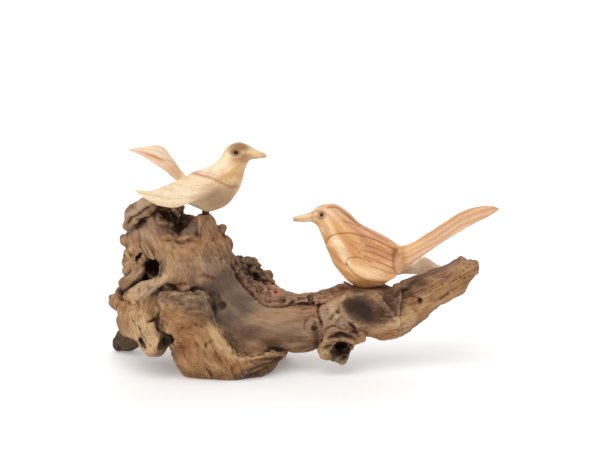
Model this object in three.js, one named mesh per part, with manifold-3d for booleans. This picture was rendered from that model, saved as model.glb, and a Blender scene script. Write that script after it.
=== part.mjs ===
// Two small carved birds on a piece of weathered rootwood.
// Millimetres, +Z up. The branch runs to +X and the show side faces -Y.
import * as THREE from 'three';
import { mergeVertices } from 'three/addons/utils/BufferGeometryUtils.js';
import Module from 'manifold-3d';

const wasm = await Module();
wasm.setup();

// Driving dimensions
const ROOT_CELL = 2.5;
const ROOT_FACES = 5400;
const FLOOR = 0;
const BIRD_PLANE = -2;
const GAP = 0.3;

const PEAK_TOP = 98.6;
const PEG = { x: -58.3, radius: 2.3, top: 102.5, sides: 12 };
const SEAT = { x: 41, level: 52.5, long: 34, deep: 22 };

const EYE = 1.5;
const UPPER_EYE = { x: -39, z: 138, out: 6.5 };
const LOWER_EYE = { x: 13.5, z: 99, out: 6.2 };

const WARP = { reach: 1.1, wave: 19 };
const APRON = { thick: 4, level: 55, lip: 15, right: -10.5, front: -4 };

// Widths of the fillets between forms
const SOFT = {
  mass: 7,
  branch: 5,
  side: 4,
  crisp: 2.5,
  cut: 1.5,
  apronTop: 1.2,
  apronRim: 2,
  apronStep: 0.6,
};

const ROOT_LOW = [-130, -60, -9];
const ROOT_HIGH = [124, 62, 118];

// Limits kept while faces are drawn together
const LEAST_DOUBLE_AREA = 0.5;
const LEAST_TURN_COSINE = 0.4;
const LENGTH_WEIGHT = 0.002;
const SHARE_PER_PASS = 0.25;

// Signed distances, negative inside the wood. Each maker returns a function of a point.

const degrees = Math.PI / 180;
const along = (a, b, t) => a + (b - a) * t;

// A distance turned about the vertical by turn, then in the picture plane by tilt.
function local(point, at, tilt, turn) {
  const dx = point[0] - at[0];
  const dy = point[1] - at[1];
  const dz = point[2] - at[2];
  const x = dx * Math.cos(turn * degrees) + dy * Math.sin(turn * degrees);
  const y = -dx * Math.sin(turn * degrees) + dy * Math.cos(turn * degrees);
  const cos = Math.cos(tilt * degrees);
  const sin = Math.sin(tilt * degrees);
  return [x * cos + dz * sin, y, -x * sin + dz * cos];
}

// A round limb that tapers from radius ra at a to rb at b; deep stretches it in depth.
function limb(a, b, ra, rb, deep = 1) {
  const run = [b[0] - a[0], (b[1] - a[1]) / deep, b[2] - a[2]];
  const square = run[0] ** 2 + run[1] ** 2 + run[2] ** 2;
  return (p) => {
    const q = [p[0] - a[0], (p[1] - a[1]) / deep, p[2] - a[2]];
    const t = THREE.MathUtils.clamp((q[0] * run[0] + q[1] * run[1] + q[2] * run[2]) / square, 0, 1);
    const away = Math.hypot(q[0] - t * run[0], q[1] - t * run[1], q[2] - t * run[2]);
    return (away - along(ra, rb, t)) * Math.min(1, deep);
  };
}

// An ellipsoid with three half sizes.
function lump(at, half, tilt = 0, turn = 0) {
  return (p) => {
    const q = local(p, at, tilt, turn);
    const near = Math.hypot(q[0] / half[0], q[1] / half[1], q[2] / half[2]);
    const slope = Math.hypot(q[0] / half[0] ** 2, q[1] / half[1] ** 2, q[2] / half[2] ** 2);
    return (near * (near - 1)) / Math.max(slope, 1e-9);
  };
}

// A block with rounded edges.
function slab(at, half, round, tilt = 0, turn = 0) {
  return (p) => {
    const q = local(p, at, tilt, turn).map((v, i) => Math.abs(v) - half[i] + round);
    const outside = Math.hypot(...q.map((v) => Math.max(v, 0)));
    return outside + Math.min(Math.max(...q), 0) - round;
  };
}

// Everything behind a plane through at, on the side away from facing.
function behind(at, facing) {
  const size = Math.hypot(...facing);
  return (p) => facing.reduce((sum, v, i) => sum + (v / size) * (p[i] - at[i]), 0);
}

// Two forms joined, with a fillet about as wide as soft, or the space that they share.
function meet(a, b, soft) {
  const blend = Math.max(soft - Math.abs(a - b), 0) / soft;
  return Math.min(a, b) - (blend ** 2 * soft) / 4;
}

const overlap = (a, b, soft) => -meet(-a, -b, soft);

const join = (forms, p, soft, start = Infinity) => forms.reduce((d, form) => meet(d, form(p), soft), start);

// Rootwood: the big forms that flow into each other
const MASSES = [
  // trunk, from under the perch peak down and along to the right
  limb([-55, 0, 69], [-40, 2, 35], 13, 22.5),
  limb([-39, 2, 33], [0, -2, 29.5], 23, 16.5),
  limb([0, -2, 29], [25, -2, 33.5], 16.5, 16),
  // perch peak
  limb([-58.5, -2, 98], [-57, -2, 68], 3.6, 14.5),
  // body of the left side
  lump([-75, 14, 39.5], [36, 26, 31]),
  lump([-78, 4, 66.5], [24, 18, 22], -40),
  // heavy foot at the front
  lump([-43, -7, 9.5], [27, 22, 14], 4),
  lump([-64, -14, 13.5], [14, 13, 11], -20),
  lump([-59, -12, 24], [19, 19, 19], -20),
  // start of the branch, past the burl
  limb([27.5, 0, 35.5], [57.5, 0, 36.5], 16, 15.5),
  limb([55, 0, 36], [72, 0, 43], 16, 13, 0.85),
];

// The branch is a flattish bar cut off at its end.
const BRANCH = slab([87.5, 0, 52], [36, 10, 9.8], 6, 25.5);
const BRANCH_CUTS = [
  behind([107.5, 0, 59.5], [0.873, 0, -0.487]),
  behind([95, 0, 45], [0.52, 0, -0.854]),
  behind([106, 0, 68.5], [0.275, 0, 0.963]),
];

// Ridges, knobs and lobes of the left side, and the two small feet behind
const SIDE = [
  lump([-90, 0, 81.5], [17.5, 15, 19], -10),
  // ridge over the hole, with its knob
  limb([-86, -17, 58], [-103.5, -15, 49.5], 6.5, 4.8),
  limb([-61.5, -16, 56.5], [-83.5, -18, 60], 5, 6),
  lump([-113.5, -10, 45], [4.6, 5.5, 5]),
  lump([-111.5, 0, 48.5], [4, 5, 3.5]),
  limb([-92.5, -14, 47], [-107.5, -13, 40], 9, 5.5),
  // hanging lobe
  limb([-97.5, -16, 37], [-89, -24, 21], 13, 8),
  lump([-72, -19, 45], [18, 14, 11]),
  lump([-76.5, -20, 34.5], [10, 12, 10]),
  lump([-100, -2, 31], [15, 16, 13]),
  // foot at the back left
  limb([-91, 20, 26], [-110.5, 32, 9.5], 12, 8),
  limb([-110, 30, 11.5], [-118.5, 33, 5], 6, 4.5),
  // loose strips beside the hole
  limb([-102, 2, 77.5], [-105.5, 4, 65.5], 6, 4.5),
  limb([-105.5, 4, 66.5], [-104, 6, 58.5], 4.5, 2.5),
  limb([-100.5, 9, 61.5], [-109, 7, 46.5], 6, 4),
  lump([-109, 4, 81], [3.5, 5, 3.5]),
  // foot at the back right
  limb([-14, 18, 15.5], [-15.5, 24, 2.5], 11, 7),
];

// Plates, crusts and the stub, which keep crisper edges
const CRISP = [
  // bark plate curling over the crown, and the crown's back wall
  limb([-91.5, -1, 105.5], [-102.5, -3, 99], 5, 4.6, 2.4),
  limb([-102.5, -3, 99], [-106, -2, 90.5], 4.6, 3, 2.2),
  lump([-88.5, 12, 95.5], [15, 5, 13.5]),
  limb([-90, 10, 105.5], [-90.5, 9, 111], 3, 1.2),
  slab([-77.5, 11, 96], [4.5, 6, 7.5], 2.5, -24, 20),
  // knobs beside the perch peak
  lump([-69.5, 13, 88], [7, 5, 7]),
  lump([-49, 8, 86.5], [3.5, 5, 4]),
  lump([-47.5, 8, 76.5], [4.4, 6, 6.5], -15),
  limb([-59.5, -3, 98], [-71.5, -6, 83], 2.6, 5),
  // crusted chunk behind the trunk
  slab([-36, 15, 59.5], [9, 10, 6], 1.5, -3, 10),
  slab([-28, 15, 53], [9, 10, 6.5], 1.5, -36),
  slab([-21, 13, 47], [8, 8, 5], 1.5, -46, -10),
  // burl with a hollow stub below it
  lump([22.5, -3, 40], [11, 17, 11], 30),
  slab([21, -11, 23], [9.5, 9, 10], 4, 8),
  slab([22.5, -16, 17.5], [10, 8, 8.3], 3.5, -12),
  // swelling that carries the lower bird
  lump([SEAT.x, BIRD_PLANE, 45.5], [15, 13, 8]),
];

// Hollows
const PITS = [
  // crater in the crown
  lump([-83, 2, 94.5], [8.5, 8, 7], -20),
  lump([-75, 0, 89.5], [5, 8, 5.5], -35),
  // holes and slits of the left side
  lump([-90, -10, 66.5], [6.8, 12, 6.4], -35),
  lump([-99, -13, 73], [2, 11, 4.5], -25),
  lump([-82, -28, 24.5], [5, 13, 6], -35),
  lump([-96, -28, 24], [1.8, 8, 3.5]),
  lump([-71, -26, 58], [11, 4, 1.8], 8),
  // hollow in the stub
  limb([25.5, -34, 15.5], [25, -14, 18.5], 6.8, 4.4),
  // bowl left by a knot
  lump([38, -18.5, 42.5], [15, 8, 9], -25),
];

// The apron, a skin of fibre over the lower front, ends along a stepped edge on the trunk.
const APRON_EDGES = {
  upper: behind([-55.5, 0, 48], [14, 0, 3]),
  lower: behind([-52.5, 0, 34], [21, 0, 15.5]),
  left: behind([-85.5, 0, 49.5], [-32.5, 0, -7]),
};

// A soft ripple between about -1 and 1 that bends every form a little.
function ripple(p, shift) {
  const k = (2 * Math.PI) / WARP.wave;
  const x = p[0] * k + shift;
  const y = p[1] * k + 1.7 * shift;
  const z = p[2] * k + 2.3 * shift;
  const first = Math.sin(x + 1.3 * Math.sin(0.7 * y)) * Math.cos(0.9 * y + 0.6 * z);
  const second = Math.sin(0.8 * y + 1.1 * Math.sin(0.6 * z)) * Math.cos(z - 0.5 * x);
  const third = Math.sin(1.1 * z) * Math.cos(0.8 * x + y);
  return (first + second + third) / 2;
}

function apron(p, wood) {
  const lip = Math.max(p[2] - APRON.lip, p[0] - APRON.right);
  const right = Math.min(APRON_EDGES.upper(p), APRON_EDGES.lower(p), lip);
  let skin = overlap(wood - APRON.thick, right, SOFT.apronTop);
  skin = overlap(skin, APRON_EDGES.left(p), SOFT.apronRim);
  skin = overlap(skin, p[1] - APRON.front, SOFT.apronRim);
  return overlap(skin, p[2] - APRON.level, SOFT.cut);
}

function rootForm(point) {
  const p = point.map((v, axis) => v + WARP.reach * ripple(point, axis + 1));
  const bar = BRANCH_CUTS.reduce((d, cut) => overlap(d, cut(p), SOFT.cut), BRANCH(p));
  let wood = meet(join(MASSES, p, SOFT.mass), bar, SOFT.branch);
  wood = join(SIDE, p, SOFT.side, wood);
  wood = meet(wood, apron(p, wood), SOFT.apronStep);
  wood = join(CRISP, p, SOFT.crisp, wood);
  return PITS.reduce((d, pit) => overlap(d, -pit(p), SOFT.cut), wood);
}

// Faceting: one vertex in each grid cell that the surface crosses

const CORNERS = [0, 1, 2, 3, 4, 5, 6, 7].map((c) => [c >> 2, (c >> 1) & 1, c & 1]);

// True where the chosen corners of a cell hang together along its edges.
function hangTogether(chosen) {
  const members = [0, 1, 2, 3, 4, 5, 6, 7].filter((c) => (chosen >> c) & 1);
  if (members.length === 0) return true;
  const reached = new Set([members[0]]);
  for (const c of reached) {
    [1, 2, 4].map((step) => c ^ step).filter((n) => (chosen >> n) & 1).forEach((n) => reached.add(n));
  }
  return reached.size === members.length;
}

const CLEAN = Array.from({ length: 256 }, (_, mask) => hangTogether(mask) && hangTogether(255 ^ mask));

// A grid of values over a box, with the cells that touch each place.
function sampled(form, low, high, cell) {
  const size = low.map((v, i) => Math.ceil((high[i] - v) / cell) + 1);
  const index = (i, j, k) => (i * size[1] + j) * size[2] + k;
  const value = new Float64Array(size[0] * size[1] * size[2]);
  const each = (trim, use) => {
    for (let i = 0; i < size[0] - trim; i += 1) {
      for (let j = 0; j < size[1] - trim; j += 1) {
        for (let k = 0; k < size[2] - trim; k += 1) use(i, j, k);
      }
    }
  };
  each(0, (i, j, k) => {
    value[index(i, j, k)] = form([low[0] + i * cell, low[1] + j * cell, low[2] + k * cell]);
  });
  const maskOf = (i, j, k) => CORNERS.reduce(
    (mask, [a, b, c], n) => mask | ((value[index(i + a, j + b, k + c)] < 0 ? 1 : 0) << n), 0);
  return { low, cell, size, index, value, each, maskOf };
}

// Pinched cells are filled up, so that the skin never touches itself at an edge or a point.
function fillPinches(grid) {
  let pinched = true;
  while (pinched) {
    pinched = false;
    grid.each(1, (i, j, k) => {
      if (CLEAN[grid.maskOf(i, j, k)]) return;
      pinched = true;
      CORNERS.forEach(([a, b, c]) => {
        const n = grid.index(i + a, j + b, k + c);
        if (grid.value[n] >= 0) grid.value[n] = -0.05 * grid.cell;
      });
    });
  }
}

// The mean of the crossings on a cell's twelve edges.
function cellVertex(grid, i, j, k) {
  const sum = [0, 0, 0];
  let hits = 0;
  CORNERS.forEach((a, n) => {
    [4, 2, 1].forEach((step, axis) => {
      if (n & step) return;
      const b = CORNERS[n | step];
      const va = grid.value[grid.index(i + a[0], j + a[1], k + a[2])];
      const vb = grid.value[grid.index(i + b[0], j + b[1], k + b[2])];
      if (va < 0 === vb < 0) return;
      a.forEach((v, d) => {
        sum[d] += v + (d === axis ? va / (va - vb) : 0);
      });
      hits += 1;
    });
  });
  return [i, j, k].map((v, d) => grid.low[d] + (v + sum[d] / hits) * grid.cell);
}

function faceted(form, low, high, cell) {
  const grid = sampled(form, low, high, cell);
  fillPinches(grid);
  const position = [];
  const vertex = new Map();
  grid.each(1, (i, j, k) => {
    const mask = grid.maskOf(i, j, k);
    if (mask === 0 || mask === 255) return;
    vertex.set(grid.index(i, j, k), position.length / 3);
    position.push(...cellVertex(grid, i, j, k));
  });
  // Each crossed grid edge gives one four-sided face between the cells round it.
  const faces = [];
  const steps = [[1, 0, 0], [0, 1, 0], [0, 0, 1]];
  grid.each(1, (i, j, k) => {
    steps.forEach((step, axis) => {
      const here = grid.value[grid.index(i, j, k)] < 0;
      const there = grid.value[grid.index(i + step[0], j + step[1], k + step[2])] < 0;
      if (here === there) return;
      const u = steps[(axis + 1) % 3];
      const v = steps[(axis + 2) % 3];
      const round = [[1, 1], [0, 1], [0, 0], [1, 0]].map(([a, b]) => vertex.get(
        grid.index(i - a * u[0] - b * v[0], j - a * u[1] - b * v[1], k - a * u[2] - b * v[2])));
      if (!here) round.reverse();
      faces.push(round[0], round[1], round[2], round[0], round[2], round[3]);
    });
  });
  return { position, faces };
}

// Simplifying: edges that lie in nearly flat places are drawn together first

const triples = (list) => Array.from({ length: list.length / 3 }, (_, n) => list.slice(3 * n, 3 * n + 3));

// The ten products that give the squared distance to a plane, weighted by the face's area.
function planeSums(a, b, c) {
  const normal = b.clone().sub(a).cross(c.clone().sub(a));
  const area = normal.length() / 2;
  normal.normalize();
  const v = [...normal.toArray(), -normal.dot(a)];
  const sums = [];
  for (let m = 0; m < 4; m += 1) {
    for (let n = m; n < 4; n += 1) sums.push(area * v[m] * v[n] * (m === n ? 1 : 2));
  }
  return sums;
}

function squaredDistance(sums, point) {
  const v = [...point.toArray(), 1];
  let total = 0;
  let at = 0;
  for (let m = 0; m < 4; m += 1) {
    for (let n = m; n < 4; n += 1) {
      total += sums[at] * v[m] * v[n];
      at += 1;
    }
  }
  return total;
}

// The best single place for two points: one of them, or halfway.
function drawnTogether(points, sums, u, v) {
  const both = sums[u].map((value, n) => value + sums[v][n]);
  const middle = points[u].clone().lerp(points[v], 0.5);
  const length = points[u].distanceToSquared(points[v]);
  const choices = [middle, points[u], points[v]].map((to) => ({ to, cost: squaredDistance(both, to) }));
  const best = choices.reduce((a, b) => (b.cost < a.cost ? b : a));
  return { u, v, both, to: best.to.clone(), cost: best.cost + LENGTH_WEIGHT * length ** 2 };
}

function faceNormal(points) {
  return points[1].clone().sub(points[0]).cross(points[2].clone().sub(points[0])).normalize();
}

// True where moving the two ends would turn a face over or leave it a sliver.
function turnsOver(points, around, { u, v, to }) {
  const moving = [...around[u], ...around[v]].filter((face) => !(face.includes(u) && face.includes(v)));
  return moving.some((face) => {
    const before = face.map((n) => points[n]);
    const after = face.map((n) => (n === u || n === v ? to : points[n]));
    const area = after[1].clone().sub(after[0]).cross(after[2].clone().sub(after[0])).length();
    return area < LEAST_DOUBLE_AREA || faceNormal(before).dot(faceNormal(after)) < LEAST_TURN_COSINE;
  });
}

function simplified({ position, faces }, target) {
  const points = triples(position).map((xyz) => new THREE.Vector3(...xyz));
  const sums = points.map(() => new Array(10).fill(0));
  let list = triples(faces);
  list.forEach((face) => {
    const plane = planeSums(...face.map((n) => points[n]));
    face.forEach((n) => plane.forEach((value, m) => { sums[n][m] += value; }));
  });
  while (list.length > target) {
    const around = points.map(() => []);
    list.forEach((face) => face.forEach((n) => around[n].push(face)));
    const ring = (n) => new Set(around[n].flat().filter((other) => other !== n));
    const ends = list.flatMap(([a, b, c]) => [[a, b], [b, c], [c, a]]).filter(([u, v]) => u < v);
    const edges = ends.map(([u, v]) => drawnTogether(points, sums, u, v)).sort((a, b) => a.cost - b.cost);
    const settled = new Set();
    let spare = list.length - target;
    edges.slice(0, edges.length * SHARE_PER_PASS).forEach((edge) => {
      if (spare <= 0 || settled.has(edge.u) || settled.has(edge.v)) return;
      const near = ring(edge.u);
      const shared = [...ring(edge.v)].filter((n) => near.has(n));
      if (shared.length !== 2 || turnsOver(points, around, edge)) return;
      [edge.u, edge.v, ...near, ...ring(edge.v)].forEach((n) => settled.add(n));
      points[edge.u] = edge.to;
      sums[edge.u] = edge.both;
      around[edge.v].forEach((face) => { face[face.indexOf(edge.v)] = edge.u; });
      spare -= 2;
    });
    list = list.filter(([a, b, c]) => a !== b && b !== c && c !== a);
  }
  return indexed(points.flatMap((point) => point.toArray()), list.flat());
}

function indexed(position, faces) {
  const geometry = new THREE.BufferGeometry();
  geometry.setAttribute('position', new THREE.Float32BufferAttribute(position, 3));
  geometry.setIndex(faces);
  return geometry;
}

// Closed solids and cuts

function solid(geometry) {
  geometry.deleteAttribute('normal');
  geometry.deleteAttribute('uv');
  const merged = mergeVertices(geometry, 1e-4);
  return new wasm.Manifold(new wasm.Mesh({
    numProp: 3,
    vertProperties: new Float32Array(merged.attributes.position.array),
    triVerts: new Uint32Array(merged.index.array),
  }));
}

function block(low, high) {
  const geometry = new THREE.BoxGeometry(high[0] - low[0], high[1] - low[1], high[2] - low[2]);
  geometry.translate((low[0] + high[0]) / 2, (low[1] + high[1]) / 2, (low[2] + high[2]) / 2);
  return solid(geometry);
}

function upright(radius, bottom, top) {
  const geometry = new THREE.CylinderGeometry(radius, radius, top - bottom, PEG.sides);
  geometry.rotateX(Math.PI / 2);
  geometry.translate(PEG.x, BIRD_PLANE, (bottom + top) / 2);
  return geometry;
}

function bead(eye, side, radius) {
  const geometry = new THREE.IcosahedronGeometry(radius, 1);
  geometry.translate(eye.x, BIRD_PLANE + side * eye.out, eye.z);
  return geometry;
}

// Birds

// Skins a row of ribs. A rib has a centre and two half axes, and the row ends in a point.
function loft(ribs, rings, sides) {
  const curve = (part) => new THREE.CatmullRomCurve3(ribs.map((rib) => rib[part]), false, 'catmullrom', 0.5);
  const [centre, tall, wide] = ['centre', 'tall', 'wide'].map(curve);
  const position = [...centre.getPoint(0).toArray(), ...centre.getPoint(1).toArray()];
  for (let ring = 1; ring < rings; ring += 1) {
    const t = ring / rings;
    for (let side = 0; side < sides; side += 1) {
      const angle = (2 * Math.PI * side) / sides;
      const at = centre.getPoint(t);
      at.addScaledVector(tall.getPoint(t), Math.cos(angle));
      at.addScaledVector(wide.getPoint(t), Math.sin(angle));
      position.push(...at.toArray());
    }
  }
  const at = (ring, side) => 2 + (ring - 1) * sides + (side % sides);
  const faces = [];
  for (let side = 0; side < sides; side += 1) {
    faces.push(0, at(1, side), at(1, side + 1));
    faces.push(1, at(rings - 1, side + 1), at(rings - 1, side));
    for (let ring = 1; ring < rings - 1; ring += 1) {
      faces.push(at(ring, side), at(ring + 1, side), at(ring + 1, side + 1));
      faces.push(at(ring, side), at(ring + 1, side + 1), at(ring, side + 1));
    }
  }
  return outward(indexed(position, faces));
}

// Turns the faces round where they enclose a negative volume.
function outward(geometry) {
  const { attributes, index } = geometry;
  const corner = (n) => new THREE.Vector3().fromBufferAttribute(attributes.position, index.array[n]);
  let volume = 0;
  for (let n = 0; n < index.count; n += 3) {
    volume += corner(n).dot(corner(n + 1).cross(corner(n + 2)));
  }
  if (volume < 0) geometry.setIndex([...index.array].reverse());
  return geometry;
}

// A body rib spans from the back line to the belly line, given as x and z, with a half width.
const bodyRib = ([backX, backZ], [bellyX, bellyZ], halfWidth) => ({
  centre: new THREE.Vector3((backX + bellyX) / 2, BIRD_PLANE, (backZ + bellyZ) / 2),
  tall: new THREE.Vector3((backX - bellyX) / 2, 0, (backZ - bellyZ) / 2),
  wide: new THREE.Vector3(0, halfWidth, 0),
});

// A blade, such as a wing or tail, spans between two edges, with a half thickness.
function blade(rows) {
  const place = (xyz) => new THREE.Vector3(...xyz);
  const middle = rows.map(([a, b]) => place(a).add(place(b)).multiplyScalar(0.5));
  return rows.map(([a, b, half], n) => {
    const run = middle[Math.min(n + 1, rows.length - 1)].clone().sub(middle[Math.max(n - 1, 0)]);
    const tall = place(a).sub(place(b)).multiplyScalar(0.5);
    return { centre: middle[n], tall, wide: run.cross(tall).setLength(half) };
  });
}

// Upper bird, facing +X, with its near wing spread and its tail cocked
const UPPER_BODY = [
  bodyRib([-20, 135], [-20, 134.5], 0.1),
  bodyRib([-21.5, 136.5], [-21.5, 133.5], 1.7),
  bodyRib([-28, 139.5], [-28.5, 133], 3.1),
  bodyRib([-31.5, 141.5], [-31, 132], 4.6),
  bodyRib([-38, 143.5], [-33, 128.5], 7.4),
  bodyRib([-45.5, 140], [-34, 125.5], 8.3),
  bodyRib([-49.5, 133], [-35, 121], 9),
  bodyRib([-57, 128], [-38, 113.5], 11.8),
  bodyRib([-67.5, 124], [-45, 104.5], 13.4),
  bodyRib([-73, 117.5], [-55.5, 100.5], 11.3),
  bodyRib([-72.5, 110], [-64, 103], 6),
  bodyRib([-70.5, 106], [-69.5, 105.5], 0.5),
];
const UPPER_TAIL = blade([
  [[-69, 1, 120.5], [-71, -6, 115.5], 1.5],
  [[-72.5, 4, 123.5], [-76.5, -5, 121], 1.6],
  [[-77.5, 6, 130], [-81.5, -6, 125.5], 1.5],
  [[-83, 8, 137.5], [-87.5, -7, 130], 1.4],
  [[-87, 8, 140], [-91, -6.5, 132], 1.3],
  [[-93.5, 6.5, 139.8], [-96, -5, 135], 1.2],
  [[-100, 4, 139], [-100.5, -2.5, 137], 1],
  [[-106.5, 0, 138.8], [-106, 0, 138.4], 0.4],
]);
const UPPER_NEAR_WING = blade([
  [[-44, -8, 122.5], [-44, -10, 117.5], 1.5],
  [[-50, -7, 126], [-47.5, -13.5, 116], 3],
  [[-58.5, -6.5, 126.5], [-54.5, -15.5, 112], 3],
  [[-68.5, -8, 124], [-65.5, -17.5, 109], 2],
  [[-77, -11, 120.5], [-76, -19.5, 106], 1.5],
  [[-84, -13.5, 118], [-85.5, -20.5, 107.5], 1.3],
  [[-91, -16, 116], [-92.5, -20.5, 111], 1.1],
  [[-101, -18.5, 117.2], [-100.7, -18.5, 116.8], 0.4],
]);
const UPPER_FAR_WING = blade([
  [[-46, 4, 120], [-46, 6, 114.5], 1.5],
  [[-53, 4, 124], [-52.5, 9.5, 114], 3],
  [[-62, 3.5, 124], [-61, 11.5, 110], 2.6],
  [[-69.5, 6, 119.5], [-70, 14, 107.5], 1.8],
  [[-76, 9, 115.5], [-77, 15.5, 108], 1.3],
  [[-83, 13, 112], [-83, 13.3, 111.6], 0.4],
]);

// Lower bird, facing -X, with its near wing folded on the body
const LOWER_BODY = [
  bodyRib([-4.5, 95.5], [-4.5, 95], 0.1),
  bodyRib([-3.5, 97], [-3.5, 94], 1.8),
  bodyRib([3, 98.5], [3, 93.5], 2.9),
  bodyRib([7, 100], [7.5, 93.5], 3.8),
  bodyRib([11.5, 103.5], [11, 90.5], 7),
  bodyRib([20.5, 105], [14, 83.5], 9),
  bodyRib([29, 100.5], [17.5, 74.5], 11),
  bodyRib([37.5, 92.5], [22.5, 64.5], 13),
  bodyRib([49, 86.5], [33.5, 53.5], 14.4),
  bodyRib([57.5, 81.5], [45.5, 52], 13),
  bodyRib([64.5, 75], [57.5, 58], 7.5),
  bodyRib([64.5, 67], [64.5, 66.5], 0.5),
];
const LOWER_TAIL = blade([
  [[57.5, 2, 77.5], [53.5, -6, 62.5], 3],
  [[66.5, 3, 78], [60, -7, 62], 3],
  [[74, 4, 81.5], [68.5, -7, 68], 2.4],
  [[82.5, 4.5, 87], [79, -7, 75.5], 1.9],
  [[91.5, 5, 93], [90, -7, 83], 1.6],
  [[101, 5, 99], [100.5, -6.5, 89.5], 1.4],
  [[110.5, 4.5, 102], [111, -5, 95], 1.2],
  [[118.5, 2.5, 103], [118.5, -2.5, 98], 1],
  [[123.5, 0, 101.8], [123.5, 0, 101.2], 0.4],
]);
const LOWER_NEAR_WING = blade([
  [[16, -9.5, 84], [17, -10, 80], 1.5],
  [[21.5, -10, 87.5], [25, -14, 72], 2.5],
  [[31.5, -11, 88], [35.5, -14.5, 63], 3],
  [[43, -12.5, 85.5], [45.5, -14.3, 59.5], 3],
  [[54, -13.2, 80], [55.5, -13.6, 59.5], 2.2],
  [[61, -13, 74.5], [61.5, -13, 64], 1.2],
  [[64, -12.5, 69.5], [64, -12.5, 68.5], 0.4],
]);
const LOWER_FAR_WING = blade([
  [[50.5, 10, 73], [51.5, 11, 58.5], 3],
  [[58, 12, 69.5], [59.5, 13, 56], 2.2],
  [[66, 15, 64.5], [66, 15.5, 56], 1.6],
  [[72.5, 17, 64], [72.5, 17, 55.5], 1.3],
  [[76, 18.5, 66], [77, 18, 55], 1.2],
  [[80, 19.5, 66.5], [81, 19, 55.5], 1.1],
  [[84.5, 20, 63.5], [85, 19.5, 55.5], 1],
  [[88.5, 20.5, 61], [89, 20, 56], 0.9],
  [[94, 20.5, 59.3], [94, 20.5, 58.7], 0.4],
]);

const BODY_RINGS = 24;
const BODY_SIDES = 18;
const BLADE_RINGS = 12;
const BLADE_SIDES = 10;

function birdSolid(body, blades, eye) {
  const whole = blades.reduce(
    (bird, ribs) => bird.add(solid(loft(ribs, BLADE_RINGS, BLADE_SIDES))),
    solid(loft(body, BODY_RINGS, BODY_SIDES)));
  return [-1, 1].reduce((bird, side) => bird.subtract(solid(bead(eye, side, EYE + GAP))), whole);
}

function upperBird() {
  const socket = solid(upright(PEG.radius + GAP, PEAK_TOP, PEG.top + GAP));
  return birdSolid(UPPER_BODY, [UPPER_TAIL, UPPER_NEAR_WING, UPPER_FAR_WING], UPPER_EYE).subtract(socket);
}

function lowerBird() {
  const reach = 60;
  const below = block([SEAT.x - reach, -reach, 0], [SEAT.x + reach / 3, reach, SEAT.level + GAP]);
  return birdSolid(LOWER_BODY, [LOWER_TAIL, LOWER_NEAR_WING, LOWER_FAR_WING], LOWER_EYE).subtract(below);
}

// The rootwood stands on flats of its feet, and is cut flat under the peg and the lower bird.
function rootwood() {
  const wood = solid(simplified(faceted(rootForm, ROOT_LOW, ROOT_HIGH, ROOT_CELL), ROOT_FACES));
  const ground = block([ROOT_LOW[0], ROOT_LOW[1], ROOT_LOW[2] - 5], [ROOT_HIGH[0], ROOT_HIGH[1], FLOOR]);
  const seatLow = [SEAT.x - SEAT.long / 2, BIRD_PLANE - SEAT.deep / 2, SEAT.level];
  const seatHigh = [SEAT.x + SEAT.long / 2, BIRD_PLANE + SEAT.deep / 2, SEAT.level + 8];
  const perchLow = [PEG.x - 6, BIRD_PLANE - 7, PEAK_TOP];
  const perchHigh = [PEG.x + 6, BIRD_PLANE + 7, PEAK_TOP + 8];
  return wood.subtract(ground).subtract(block(seatLow, seatHigh)).subtract(block(perchLow, perchHigh));
}

// Scene graph

const part = new THREE.Group();

function addPiece(name, geometry, colour, roughness, metalness = 0) {
  const material = new THREE.MeshStandardMaterial({ color: colour, roughness, metalness });
  const mesh = new THREE.Mesh(geometry, material);
  mesh.name = name;
  part.add(mesh);
}

function geometryOf(shape) {
  const mesh = shape.getMesh();
  return indexed(mesh.vertProperties, [...mesh.triVerts]);
}

addPiece('rootwood', geometryOf(rootwood()), 0x6e4d33, 0.85);
addPiece('upper_bird', geometryOf(upperBird()), 0xe6cda2, 0.5);
addPiece('lower_bird', geometryOf(lowerBird()), 0xd99f5c, 0.45);
addPiece('perch_peg', upright(PEG.radius, PEAK_TOP + GAP, PEG.top), 0x3a2418, 0.7);
[['near', -1], ['far', 1]].forEach(([place, side]) => {
  addPiece(`upper_eye_${place}`, bead(UPPER_EYE, side, EYE), 0x24140e, 0.15);
  addPiece(`lower_eye_${place}`, bead(LOWER_EYE, side, EYE), 0x14100e, 0.1);
});

// The origin is on the floor, under the middle of the whole object.
const bounds = new THREE.Box3().setFromObject(part);
const middle = bounds.getCenter(new THREE.Vector3());
part.position.set(-middle.x, -middle.y, -bounds.min.z);

export default part;
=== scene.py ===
"""Two small carved birds on a piece of weathered rootwood, in a plain studio view."""

import math
from itertools import product

import bpy
import numpy as np
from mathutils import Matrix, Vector


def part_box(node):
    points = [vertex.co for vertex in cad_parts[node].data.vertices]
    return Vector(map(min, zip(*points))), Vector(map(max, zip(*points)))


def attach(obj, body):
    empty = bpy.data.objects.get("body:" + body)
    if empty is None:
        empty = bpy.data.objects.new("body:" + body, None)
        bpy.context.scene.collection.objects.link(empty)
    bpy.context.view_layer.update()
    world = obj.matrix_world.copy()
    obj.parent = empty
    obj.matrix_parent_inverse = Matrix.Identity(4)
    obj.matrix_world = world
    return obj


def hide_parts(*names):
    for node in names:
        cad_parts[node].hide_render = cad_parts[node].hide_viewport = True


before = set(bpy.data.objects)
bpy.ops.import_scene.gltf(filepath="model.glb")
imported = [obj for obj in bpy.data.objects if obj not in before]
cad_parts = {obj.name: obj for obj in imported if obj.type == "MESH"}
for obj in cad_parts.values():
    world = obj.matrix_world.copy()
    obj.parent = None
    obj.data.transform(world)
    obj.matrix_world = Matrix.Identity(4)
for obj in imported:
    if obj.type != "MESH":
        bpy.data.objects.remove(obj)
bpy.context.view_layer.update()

MM = 0.001

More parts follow.
